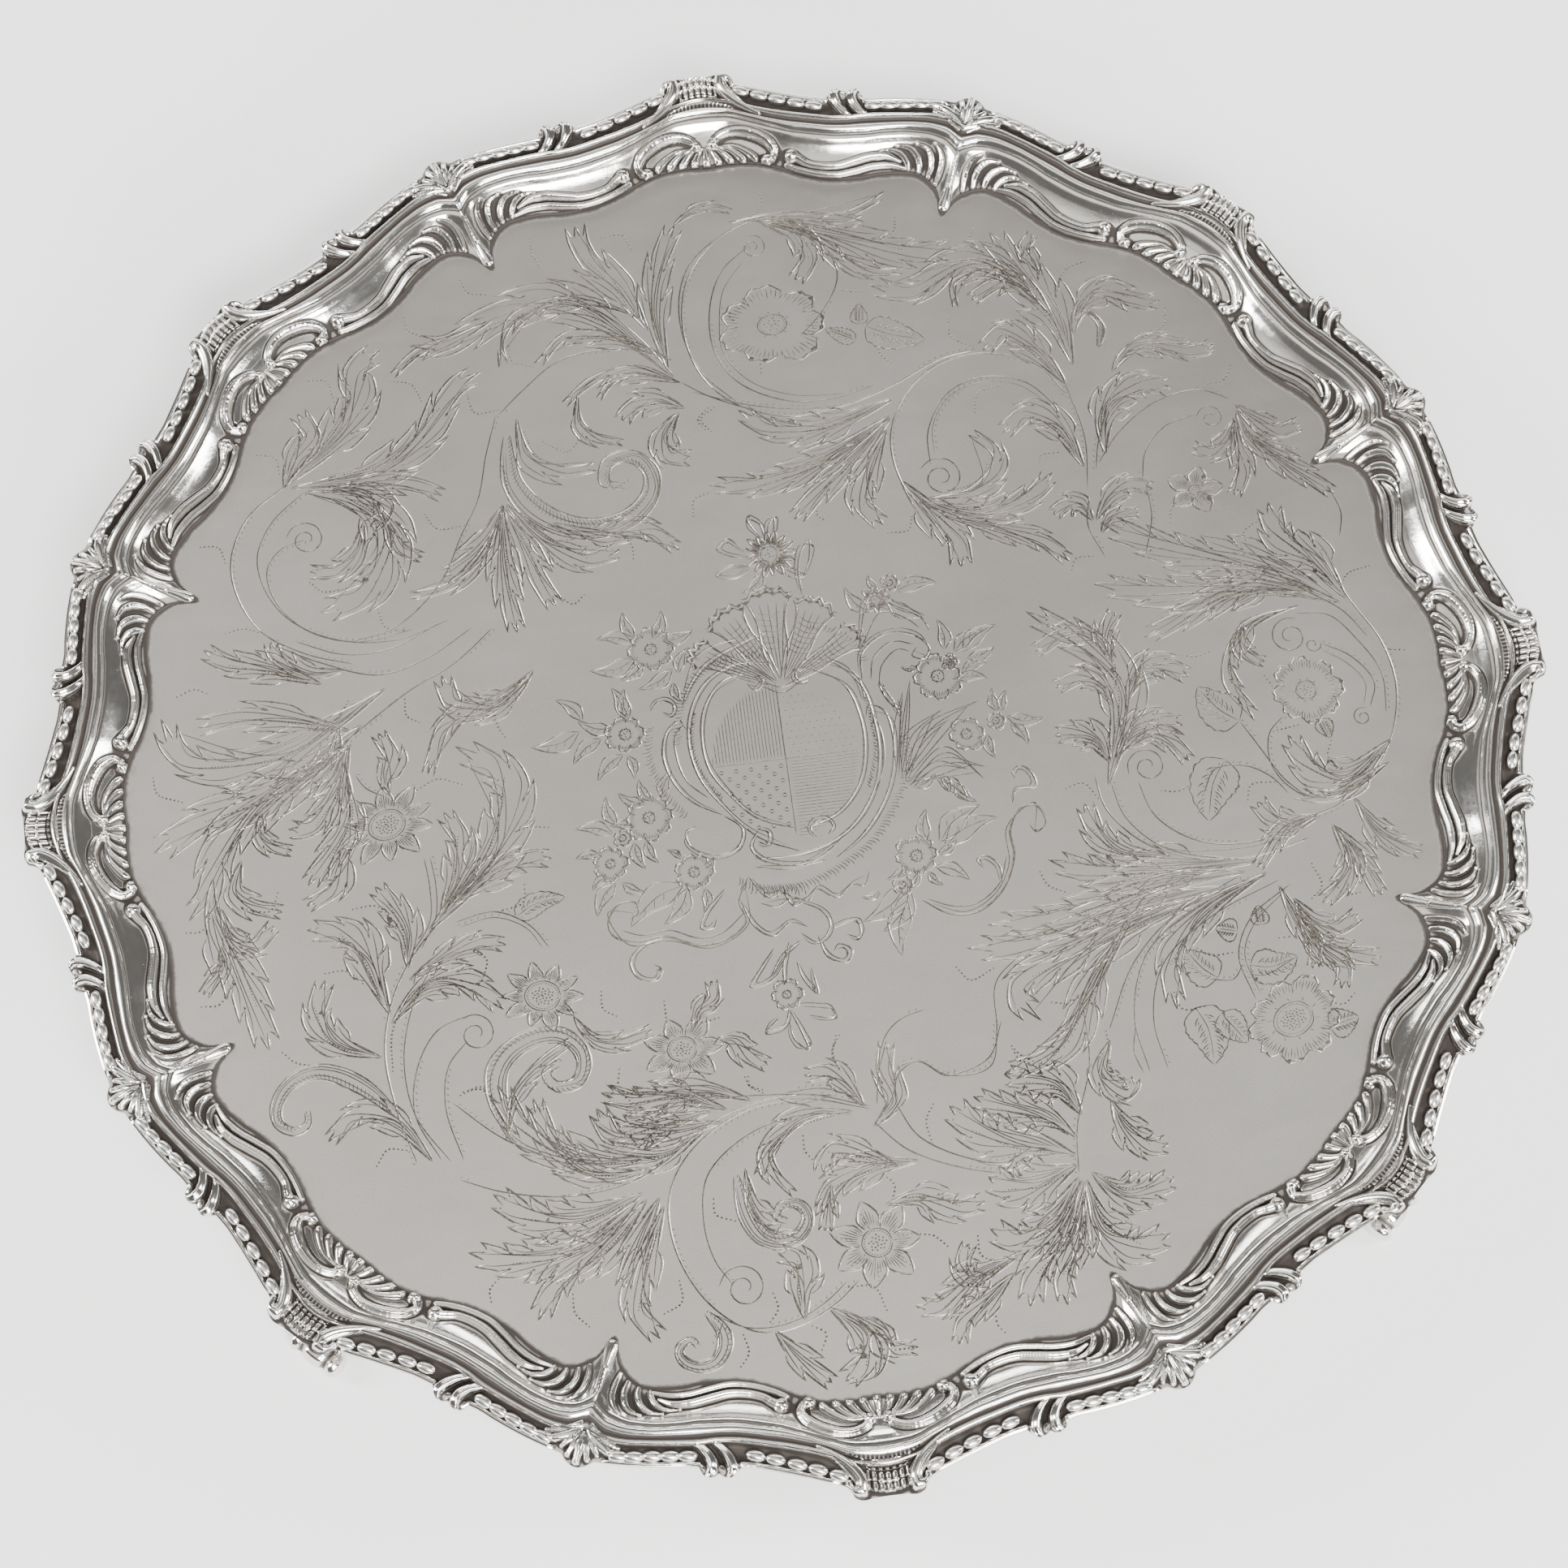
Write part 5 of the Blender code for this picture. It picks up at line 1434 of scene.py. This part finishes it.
# the cartouche in the middle: a plain hatched shield in a rococo frame with sprays of flowers
frameStrokes = [
    ([(-8, 28.5), (-18.5, 26.5), (-26, 17), (-28, 5), (-26.5, -5.5), (-20, -16), (-13, -24),
      (0, -29.5)], 0.26),
    ([(-1, 30.5), (-13, 32), (-24, 27), (-30.5, 17), (-32.5, 5), (-30, -8), (-22.5, -20), (-13, -31),
      (0, -37.5)], 0.26),
    ([(-10.5, 24.5), (-8, 21.5), (-5, 24.5), (-8, 28.5)], 0.24),
    ([(11, 27), (21.5, 20), (25.5, 8), (25.5, -4), (22, -16), (13.5, -25.5), (0, -30)], 0.26),
    ([(8, 30.5), (19, 28), (27.5, 18.5), (30, 6.5), (30, -7), (26, -20), (16, -32), (1.5, -38),
      (-16, -38)], 0.26),
    ([(11, 23.5), (7.5, 22.5), (6, 26), (11, 27)], 0.24),
    ([(-32.5, 10), (-34.5, 14), (-39, 11), (-41.5, 2.5), (-39, -8), (-33, -16), (-24, -21.5)], 0.26),
    ([(-33, 12.5), (-36.5, 9), (-37, 1), (-34.5, -8), (-28, -15)], 0.2),
    ([(-24, -21.5), (-18.5, -27), (-21, -33.5), (-29, -35), (-36, -31), (-37, -25.5), (-33, -24)], 0.26),
    ([(27.5, 7), (29, 11), (33.5, 9), (35.5, 0), (34, -12), (29.5, -23), (21.5, -33.5), (11, -41.5)], 0.26),
    ([(30, 8.5), (32, 0), (31, -11), (27, -20)], 0.2), ([(28, 12), (27, 21), (23, 26.5), (17.5, 30)], 0.22),
    ([(-13, -28), (-16.5, -33.5), (-13, -39), (-2.5, -42), (8, -41.5)], 0.24),
    ([(-13, -28), (-10, -29.5), (-11, -33.5), (-14, -32)], 0.24),
    ([(-16, -41), (-2.5, -43), (8, -39), (15, -33.5)], 0.24),
    ([(6, -33.5), (4, -29.5), (8, -27), (11.5, -29.5), (9.5, -33)], 0.24),
    ([(-18.5, -44), (-22.5, -52), (-21, -59), (-26.5, -64), (-37, -65.5), (-48, -61), (-57, -61.5),
      (-64.5, -59), (-66, -53.5), (-62, -48), (-56.5, -48), (-56, -52), (-59, -53.5)], 0.3),
    ([(-21, -56), (-29, -62), (-37, -63), (-46.5, -59), (-56, -59.5), (-62, -57)], 0.18),
    ([(-48, -61), (-56, -63), (-60.5, -68), (-58.5, -74), (-52.5, -75.5), (-50.5, -72), (-53, -70)], 0.26),
    ([(-26.5, -47), (-34.5, -55), (-36, -60), (-32, -60), (-30.5, -57)], 0.22),
    ([(37, -59.5), (45.5, -65.5), (55, -66), (64, -59.5), (69.5, -48), (69.5, -39), (74, -32),
      (79.5, -32), (81.5, -38), (78, -41), (76, -38)], 0.3),
    ([(39, -59.5), (47, -63), (55, -63), (63, -57.5), (67, -48)], 0.18),
    ([(71.5, -30), (73.5, -25.5), (80, -25), (79.5, -20), (76, -17), (73, -19), (74, -21.5)], 0.24),
    ([(64, -57.5), (64, -51), (60, -47), (57, -48), (59, -51.5)], 0.22),
    ([(28, 20), (29.5, 30.5), (39, 36.5), (48, 34), (52, 29), (49.5, 25.5), (46, 27), (48, 30)], 0.26),
    ([(31, 20), (33, 28), (40, 33), (47, 31)], 0.2),
    ([(33.5, 18.5), (35.5, 25), (41.5, 30), (45.5, 28.5)], 0.16),
    ([(29, 34.5), (35, 50.5), (41.5, 46.5), (51, 40), (53, 35)], 0.22),
    ([(30, 33), (37.5, 44), (45.5, 41), (50, 36.5)], 0.18),
    ([(39, 5), (37, 12.5), (33.5, 18.5), (35.5, 12), (39.5, 8), (39, 12)], 0.22),
    ([(-1, 42.5), (-13, 38.5), (-24, 33), (-31, 24), (-33, 18.5)], 0.24),
    ([(-32, 24), (-26.5, 36), (-18.5, 40), (-10.5, 41)], 0.2),
    ([(-44, 18.5), (-40.5, 22), (-36, 20), (-37, 16.5), (-40, 18)], 0.22),
    ([(-18.5, -44), (-13, -52), (-8, -51), (-5, -56), (0, -53.5)], 0.22),
    ([(-16, -53.5), (-10.5, -55.5), (-5, -53), (0, -55), (3, -51), (9.5, -55), (15, -51), (19, -52),
      (21.5, -47)], 0.22),
    ([(-22, -52), (-18.5, -61.5), (-13, -65.5), (-6.5, -61.5), (-1, -64)], 0.22),
    ([(-2.5, -55), (4, -59), (6, -64), (1.5, -69.5), (-4, -65.5)], 0.22),
    ([(1.5, -67), (4, -75), (10, -77.5), (12, -73.5), (8, -71), (6, -73.5)], 0.24),
    ([(5.5, -65.5), (15, -64), (15, -69.5), (11, -68)], 0.22), ([(-4, -68), (-10.5, -72),
      (-16, -80)], 0.22),
    ([(-13, -69.5), (-18.5, -76), (-22.5, -82), (-14.5, -80), (-8, -69.5)], 0.24),
    ([(-6.5, -75), (-5, -81.5), (-1, -87), (-2, -77.5)], 0.22),
    ([(-11, -91), (-13, -96), (-19, -97.5), (-14.5, -93.5)], 0.22),
    ([(-11, -91), (-8, -99), (-6.5, -105.5), (-10.5, -101.5), (-11.5, -95)], 0.22),
    ([(-10, -90), (-4, -91), (3.5, -93.5), (3, -95.5), (-5, -94)], 0.22),
    ([(-8, -68), (-11, -76), (-11.5, -83)], 0.22),
    ([(12, 54), (12, 64), (14, 70.5), (17, 74), (16, 66.5), (13, 60)], 0.22),
    ([(1.5, 76.5), (-1, 80), (-3, 84.5), (1, 82), (2, 77)], 0.22),
    ([(3, 77), (4, 81), (6, 84), (5.5, 79), (3.5, 76.5)], 0.22),
    ([(-5, 72), (-10.5, 78), (-14.5, 74.5), (-9, 71), (-4.5, 70.5)], 0.22),
    ([(-4, 66.5), (-10.5, 68), (-16, 65), (-10.5, 63), (-4, 66)], 0.22),
]
frameBlooms = [
    ((3, 70.5), 3, 9, 16, 0, 1, 0), ((-41, 41), 2, 7.5, 8, 1, 1, 0), ((-53, 11.5), 2, 6.5, 7, 1, 1, 0),
    ((-48.5, -19), 2, 8, 8, 1, 1, 0), ((-63, -33.5), 1.6, 6, 7, 1, 1, 0), ((-36, -40), 1.8, 6, 7, 1, 1, 0),
    ((36.5, 49), 1.8, 5.5, 8, 0, 1, 0), ((53.5, 18.5), 2.2, 8, 8, 1, 1, 0),
    ((60, -3.5), 1.8, 6, 6, 1, 1, 0), ((70.5, 0), 1.2, 3, 5, 1, 1, 0), ((37.5, -44), 2, 7, 8, 1, 1, 0),
    ((31.5, -53.5), 1.2, 3.4, 5, 1, 1, 0), ((-11, -86), 1.4, 5, 6, 1, 1, 0),
    ((58, 23), 1, 2.8, 5, 1, 1, 0), ((42, 54.5), 1.2, 3, 5, 1, 1, 0), ((-58, -25), 1.2, 3, 5, 1, 1, 0),
]
leaflets = [
    ((-47, 44.5), (-59, 47)), ((-46, 46), (-49, 56)), ((-40, 44.5), (-36, 55)), ((-37, 43.5), (-26, 46.5)),
    ((-46.5, 38), (-62.5, 36)), ((-44, 36.5), (-52.5, 31)), ((-34.5, 33), (-47, 27)), ((-33, 31),
    (-28.5, 40)), ((-35, 28), (-33, 20.5)), ((-53, 17), (-56, 29)), ((-51, 17), (-51.5, 28)),
    ((-57, 14), (-68.5, 18.5)), ((-66.5, 18), (-75, 27)), ((-68, 14.5), (-85, 11)), ((-61, 11),
    (-71.5, 3)), ((-54.5, 4.5), (-64, -4)), ((-53, 4), (-52, -5)), ((-49, -14), (-58, -9)),
    ((-47, -13.5), (-50.5, -5)), ((-43.5, -13), (-39, -3.5)), ((-54, -21.5), (-62, -20.5)),
    ((-59.5, -20.5), (-62, -9.5)), ((-61, -23), (-73.5, -20)), ((-54.5, -27), (-51.5, -37)),
    ((-50.5, -27), (-47, -35.5)), ((-66, -30), (-74.5, -30.5)), ((-64.5, -37.5), (-70, -42)),
    ((-62, -40), (-69.5, -51.5)), ((-60, -40.5), (-52.5, -45)), ((-39.5, -35), (-44, -31)),
    ((-39.5, -43.5), (-59, -56.5)), ((-38.5, -45), (-48, -57)), ((-33, -46), (-34.5, -54.5)),
    ((-32, -39.5), (-29, -35.5)), ((34, 44.5), (26.5, 55)), ((43.5, 51), (58, 52.5)), ((40, 48),
    (52.5, 41)), ((37.5, 52.5), (35, 58.5)), ((57, 27.5), (56, 39)), ((60, 26.5), (71, 33)), ((63, 26),
    (75.5, 34.5)), ((64, 23.5), (74, 27)), ((61.5, 19), (70.5, 21)), ((59.5, 16.5), (70, 15.5)),
    ((47, 22.5), (41.5, 23.5)), ((71.5, 3), (71, 12)), ((73, 3), (75.5, 10.5)), ((74, 1), (86.5, -1)),
    ((75, -1.5), (80, -10)), ((67, -4.5), (68.5, -13.5)), ((49.5, -17), (51.5, -23.5)), ((48, -18),
    (57, -27.5)), ((53.5, -20), (60, -28)), ((40, -20), (48, -16)), ((41.5, -39.5), (43, -28)),
    ((45.5, -40.5), (61, -29)), ((47, -42), (66, -34)), ((44.5, -44.5), (51.5, -40)), ((43, -48.5),
    (54, -55)), ((40.5, -50), (45, -55.5)), ((34, -47), (26.5, -51)), ((33.5, -52.5), (17, -64.5)),
    ((34, -55.5), (23, -69)), ((32.5, -59), (28, -78)), ((34, -55), (37.5, -49)), ((24, -55),
    (17.5, -56)), ((7, 65), (15, 61)), ((0, 64), (-8, 57)),
]
blades = [
    [(37, -18), (41.5, 0), (53.5, 6.5)], [(37.5, -18), (47, 0), (66, 8)], [(36, -16), (40, 1), (44, 18.5)],
    [(38, -19), (53.5, -8), (64, -20.5)], [(38, -19), (56, -11), (65, -16)],
    [(35.5, -13.5), (37.5, 2.5), (41, 14.5)], [(37.5, -16), (43, -5.5), (55, 2.5)],
    [(39, -20), (51, -12), (59, -16)],
]
fringes = [
    ([(-1, 31), (-13, 32.5), (-25, 28), (-32, 17), (-34, 5)], -4),
    ([(-42.5, 13), (-44, 2.5), (-41, -9.5), (-34.5, -19)], -4), ([(-21, -43), (-13, -47), (0, -48)], -5),
    ([(-16, -47), (0, -47), (13.5, -41.5), (23, -35), (31, -24), (37, -11), (37, 1)], -4),
    ([(-28, 16), (-30, 5), (-28, -5.5), (-22.5, -15)], -2.4),
    ([(27.5, 14.5), (28, 5), (28, -5.5), (24, -17.5)], 2.2),
    ([(11, 40), (19, 38.5), (25.5, 33), (28, 26.5)], 3.5),
]


def leaflet(root, tip):
    at = ribbon([root, tip])
    length = math.dist(root, tip)
    width = 0.19 * length
    bow = 0.10 * length * (1 if chance.random() > 0.5 else -1)
    for hand in (1, -1):
        cut([at(0), at(0.35, hand * width + bow), at(0.7, 0.55 * hand * width + bow), at(1)],
            0.30, step=1.4)
    cut([at(0.05), at(0.4, bow), at(0.85, 0.5 * bow)], engraving["fine"])
    for k in range(3):
        cut([at(0.3 + 0.17 * k, bow), at(0.4 + 0.17 * k, bow + 0.6 * width)], 0.75 * engraving["fine"])


def fringe(points, length):
    at = ribbon(points)
    size = pathLength(points)
    count = int(size / 1.15)
    for k in range(count):
        grown = length * (0.75 + 0.35 * math.sin(k * 1.1) ** 2)
        cut([at(k / count, math.copysign(0.3, length)), at((k + 0.9) / count, 0.7 * grown),
             at((k + 0.8) / count, grown)], 0.19)


def crest():
    # five fluted trumpets spreading from a collar over the shield
    hub = np.array([1.0, 22])
    for x, y, wide in ((-27, 38, 5.6), (-16, 51, 7.4), (0, 57, 8.4), (17, 51, 7.4), (29, 38, 5.6)):
        out = np.array([x, y], float) - hub
        across = np.array([-out[1], out[0]]) / np.linalg.norm(out)

        def at(share, side):
            return hub + share * out + side * wide * across

        for hand in (1, -1):
            flare = ((0.05, 0.14), (0.38, 0.50), (0.70, 0.58), (0.88, 0.86), (0.93, 1.1))
            cut([at(share, side * hand) for share, side in flare])
        lip = [at(0.93 + 0.10 * math.cos(1.4 * side) + 0.03 * (-1) ** j, side)
               for j, side in enumerate(np.linspace(-1.1, 1.1, 9))]
        cut(lip, 0.3)
        cut([place - 0.05 * out for place in lip], 0.2)
        for side in (-0.7, -0.35, 0, 0.35, 0.7):
            cut([at(0.14, 0.22 * side), at(0.6, 0.66 * side), at(0.88, 1.0 * side)], 0.2)
        for k in range(7):
            share = 0.42 + 0.06 * k
            cut([at(share, 0.55), at(share - 0.03, 0), at(share, -0.55)], 0.15)
    cut([(-6, 25), (1, 21.5), (8, 25)], 0.34)
    cut([(-6, 23), (1, 19.5), (8, 23)], 0.26)


def shield():
    middle, wide, high = (-0.8, -4.2), 25.5, 29.0

    def inside(x, y):
        return ((x - middle[0]) / wide) ** 2 + ((y - middle[1]) / high) ** 2 < 0.93

    cut([(middle[0], -31.5), (middle[0], 21)], 0.16, swell=0.1)
    cut([(-25, -4.2), (23.5, -4.2)], 0.16, swell=0.1)
    for k in range(22):
        x = middle[0] - wide + 1.15 * (k + 1)
        rows = [y for y in np.arange(-4, 25, 0.5) if inside(x, y)]
        if x < middle[0] and rows:
            cut([(x, rows[0]), (x, rows[-1])], 0.15, swell=0.1)
    for k in range(25):
        y = middle[1] - 1.15 * (k + 1)
        columns = [x for x in np.arange(middle[0] + 0.4, 26, 0.5) if inside(x, y)]
        if columns:
            cut([(columns[0], y), (columns[-1], y)], 0.15, swell=0.1)
    for k in range(9):
        for j in range(9):
            x, y = middle[0] + 2 + 2.5 * k + 1.2 * (j % 2), middle[1] + 2.2 + 2.5 * j
            if inside(x + 0.6, y + 0.6):
                pits.append((x, y, 0.26))
            x, y = middle[0] - 2 - 2.5 * k, middle[1] - 2.4 - 2.6 * j
            if inside(x - 0.6, y - 0.6) and (k + j) % 2 == 0:
                cut([(x - 0.9, y), (x, y + 0.7), (x + 0.9, y)], 0.14)
                cut([(x - 0.9, y), (x, y - 0.7), (x + 0.9, y)], 0.14)


for points, width in frameStrokes:
    cut(points, 1.45 * width, swell=0.35, step=1.2)
    if width > 0.21:  # a finer line beside it
        at = ribbon(points)
        shares = np.linspace(0.04, 0.96, 7)
        finer = [at(share, 1.1 * math.sin(math.pi * share) ** 0.5 + 0.2) for share in shares]
        cut(finer, 0.2, step=1.2)
for flower in frameBlooms:
    bloom(*flower)
for root, tip in leaflets:
    leaflet(root, tip)
for points in blades:
    at = ribbon(points)
    for hand in (1, -1):
        cut([at(0, 0.5 * hand), at(0.5, 1.1 * hand), at(1)], 0.2)
    cut([at(0.05), at(0.9)], engraving["fine"])
for points, length in fringes:
    fringe(points, length)
crest()
shield()
print("engraving drawn:", len(cuts), "cuts and", len(pits), "dots")

plate = {
    "reach": 5.0,  # mm under the border
    "soil": 2.6,  # mm of dirt along the border's foot
    "every": 6,  # columns of the border to a point of the outline
    "merge": 0.002,
    "longestCut": 2.1,  # longer faces are not part of a cut
}


def plateLoop(shift):
    # a line around the plate, shift mm outside the border's foot
    held, angle = fullGrid(-half, half - 1, 0.0)
    radius = gridRadius[0, held] + shift * mm / fanRadius
    angle, radius = angle[0][::plate["every"]], radius[::plate["every"]]
    return np.concatenate([polarPoint(angle + 45.0 * k, radius) for k in range(bayCount)])


def plateDepths(points):
    # how deep the strokes and the dots cut at each point
    tree = kdtree.KDTree(len(points))
    for k, point in enumerate(points):
        tree.insert((point[0], point[1], 0), k)
    tree.balance()
    depth = np.zeros(len(points))
    # bright marks the points of the grooves that stand in for a highlight (painted highlight)
    bright = np.zeros(len(points), bool)
    for path, halfs, deepest, isHighlightGroove in cuts:
        for a, b, wa, wb in zip(path[:-1], path[1:], halfs[:-1], halfs[1:]):
            along = b - a
            length = math.hypot(*along)
            for place, k, _ in tree.find_range(((a[0] + b[0]) / 2, (a[1] + b[1]) / 2, 0),
                                               length / 2 + max(wa, wb)):
                dx, dy = place[0] - a[0], place[1] - a[1]
                t = min(max((dx * along[0] + dy * along[1]) / (length * length + 1e-9), 0), 1)
                w = wa + (wb - wa) * t
                away = math.hypot(dx - t * along[0], dy - t * along[1])
                if away < w:
                    found = deepest * (1 - away / w) * min(1, w / 0.12)
                    if found > depth[k]:
                        depth[k] = found
                        bright[k] = isHighlightGroove
    for x, y, radius in pits:
        for place, k, away in tree.find_range((x, y, 0), radius * 0.96):
            depth[k] = max(depth[k], 0.75 * radius * (1 - away / radius))
    depth[depth < 0.012] = 0
    return depth, bright


def engravedPlate():
    places, edges = [], []

    def chain(numbers):
        edges.extend(zip(numbers[:-1], numbers[1:]))

    def add(points):
        first = len(places)
        places.extend(map(tuple, points))
        return list(range(first, len(places)))

    outline = add(plateLoop(plate["reach"]))
    for shift in (0.3, -plate["soil"]):
        loop = add(plateLoop(shift))
        chain(loop + loop[:1])
    for path, halfs, _, _ in cuts:
        along = np.gradient(path, axis=0)
        along /= np.linalg.norm(along, axis=1)[:, None] + 1e-9
        out = np.stack([-along[:, 1], along[:, 0]], -1) * halfs[:, None]
        middle = add(path)
        chain(middle)
        for hand in (1, -1):
            side = add((path + hand * out)[1:-1])
            chain(middle[:1] + side + middle[-1:])
    for x, y, radius in pits:
        turns = np.arange(6) * math.pi / 3
        ring = add([(x + radius * math.cos(a), y + radius * math.sin(a)) for a in turns])
        chain(ring + ring[:1])
        add([(x, y)])
    spots = [Vector(p) for p in places]
    found = geometry.delaunay_2d_cdt(spots, edges, [outline], 1, plate["merge"], False)
    flat = np.array([tuple(p) for p in found[0]])
    triangles = np.array(found[2], np.int32)
    print("plate cut into", len(triangles), "faces")
    depth, bright = plateDepths(flat)
    count = len(flat)
    top = np.column_stack([flat, -depth]) * mm
    top[:, 2] += plateTop
    sides = np.sort(np.concatenate([triangles[:, [0, 1]], triangles[:, [1, 2]], triangles[:, [2, 0]]]), 1)
    unique, uses = np.unique(sides, axis=0, return_counts=True)
    rim = unique[uses == 1]
    directed = {(p, q) for a, b, c in triangles.tolist() for p, q in ((a, b), (b, c), (c, a))}
    follow = {}
    for p, q in rim.tolist():
        if (p, q) in directed:
            follow[p] = q
        else:
            follow[q] = p
    loop = [next(iter(follow))]
    while follow[loop[-1]] != loop[0]:
        loop.append(follow[loop[-1]])
    low = top[loop].copy()
    low[:, 2] = plateUnder
    loop = np.array(loop)
    under = count + np.arange(len(loop))
    walls = np.stack([np.roll(loop, -1), loop, under, np.roll(under, -1)], -1)
    mesh = meshFrom("plate", np.concatenate([top, low]), [triangles, walls, under[::-1][None, :]], 0)
    mesh.shade_flat()
    angle = np.degrees(np.arctan2(flat[:, 0], flat[:, 1]))
    fromFan = np.abs((angle + 22.5) % 45 - 22.5)
    foot = np.interp(fromFan, angles, gridRadius[0]) * fanRadius / mm
    soil = np.clip(1 - (foot - np.hypot(*flat.T)) / plate["soil"], 0, 1)
    addAttribute(mesh, "tarnish", np.concatenate([soil, np.zeros(len(low))]))
    piece = putPiece("plate", mesh, plateMaterial, ["centre_plate"])
    mesh.materials.append(cutMaterial)
    isCut = np.zeros(len(mesh.polygons), np.int32)
    corners = flat[triangles]
    longest = np.linalg.norm(corners - np.roll(corners, 1, 1), axis=2).max(1)
    deepest = triangles[np.arange(len(triangles)), depth[triangles].argmax(1)]
    # dark cuts take the cut silver; the bright grooves of the painted highlight keep the plate's silver
    isCut[:len(triangles)] = (depth[deepest] > 0) & ~bright[deepest] & (longest < plate["longestCut"])
    mesh.polygons.foreach_set("material_index", isCut)
    return piece


engravedPlate()
print("plate made")


# floor, light and camera

def floorMaterial():
    g = newGraph("paleFloor")
    cloud = g.noise(2.0, 3, 0.5)
    color = g.mix(cloud, (0.90, 0.90, 0.895, 1), (0.93, 0.93, 0.925, 1))
    return g.finish(Base_Color=color, Roughness=0.8, Emission_Color=(1, 1, 1, 1), Emission_Strength=0.4)


floorMesh = bpy.data.meshes.new("floor")
floorMesh.from_pydata([(-6, -6, 0), (6, -6, 0), (6, 6, 0), (-6, 6, 0)], [], [(0, 1, 2, 3)])
floorMesh.materials.append(floorMaterial())
floor = bpy.data.objects.new("floor", floorMesh)
bpy.context.scene.collection.objects.link(floor)


studio = {
    "boxes": {  # place, size, watts
        "backBox": ((0.1, 2.0, 0.85), (2.6, 0.4), 26),
        "leftBox": ((-1.75, 0.35, 0.95), (0.5, 1.4), 50),
        "rightBox": ((1.75, -0.2, 0.95), (0.4, 1.4), 34),
        "frontBox": ((0.6, -1.9, 1.0), (1.3, 0.4), 42),
        "highBox": ((0.4, -2.2, 2.9), (1.6, 1.0), 170),
    },
    "world": (0.15, 0.147, 0.143, 1),
    "overhead": (1.36, 1.325, 1.275, 1),
    "dark": (0.03, 0.02, 0.014, 1),
    "below": (0.9, 0.9, 0.9, 1),
}


def softLight(name, place, size, watts):
    # a soft box that faces the middle of the salver
    data = bpy.data.lights.new(name, "AREA")
    data.shape = "RECTANGLE"
    data.size, data.size_y = size
    data.energy = watts
    lamp = bpy.data.objects.new(name, data)
    bpy.context.scene.collection.objects.link(lamp)
    lamp.location = place
    lamp.rotation_euler = (-Vector(place)).to_track_quat("-Z", "Y").to_euler()


for name, box in studio["boxes"].items():
    softLight(name, *box)


def studioWorld():
    # dim walls, a bright patch overhead and a dark gap towards the front
    world = bpy.data.worlds.new("studio")
    bpy.context.scene.world = world
    g = Graph(world)
    facing = g.node("ShaderNodeTexCoord")["Generated"]

    def towards(direction):
        unit = Vector(direction).normalized()
        return g.node("ShaderNodeVectorMath", {"operation": "DOT_PRODUCT"}, facing, unit)["Value"]

    color = g.mix(towards((-0.17, -0.02, 0.98)).ramp(0.78, 1.0), studio["world"], studio["overhead"])
    color = g.mix(towards((0.1, -0.85, 0.5)).ramp(0.90, 0.985), color, studio["dark"])
    color = g.mix(towards((0, 0, -1)).ramp(-0.05, 0.25), color, studio["below"])
    background = g.node("ShaderNodeBackground", None, Color=color, Strength=1.0)["Background"]
    g.node("ShaderNodeOutputWorld", None, background)


studioWorld()

view = {
    "place": (-0.1673, -1.8717, 4.8175),  # from the middle of the plate's top, in fan radii
    "right": (0.99176, -0.12717, -0.01573),
    "up": (0.12446, 0.92686, 0.35418),
    "back": (-0.03046, -0.35322, 0.93505),
    "lens": 90.3,
}
camera = bpy.data.objects.new("camera", bpy.data.cameras.new("camera"))
bpy.context.scene.collection.objects.link(camera)
axes = Matrix([view["right"], view["up"], view["back"]]).transposed().to_4x4()
stand = Vector(view["place"]) * fanRadius + Vector((0, 0, plateTop))
camera.matrix_world = Matrix.Translation(stand) @ axes
camera.data.lens = view["lens"]
camera.data.sensor_width = 36
camera.data.clip_start = 0.05
camera.data.clip_end = 40
bpy.context.scene.camera = camera
print("stage set")
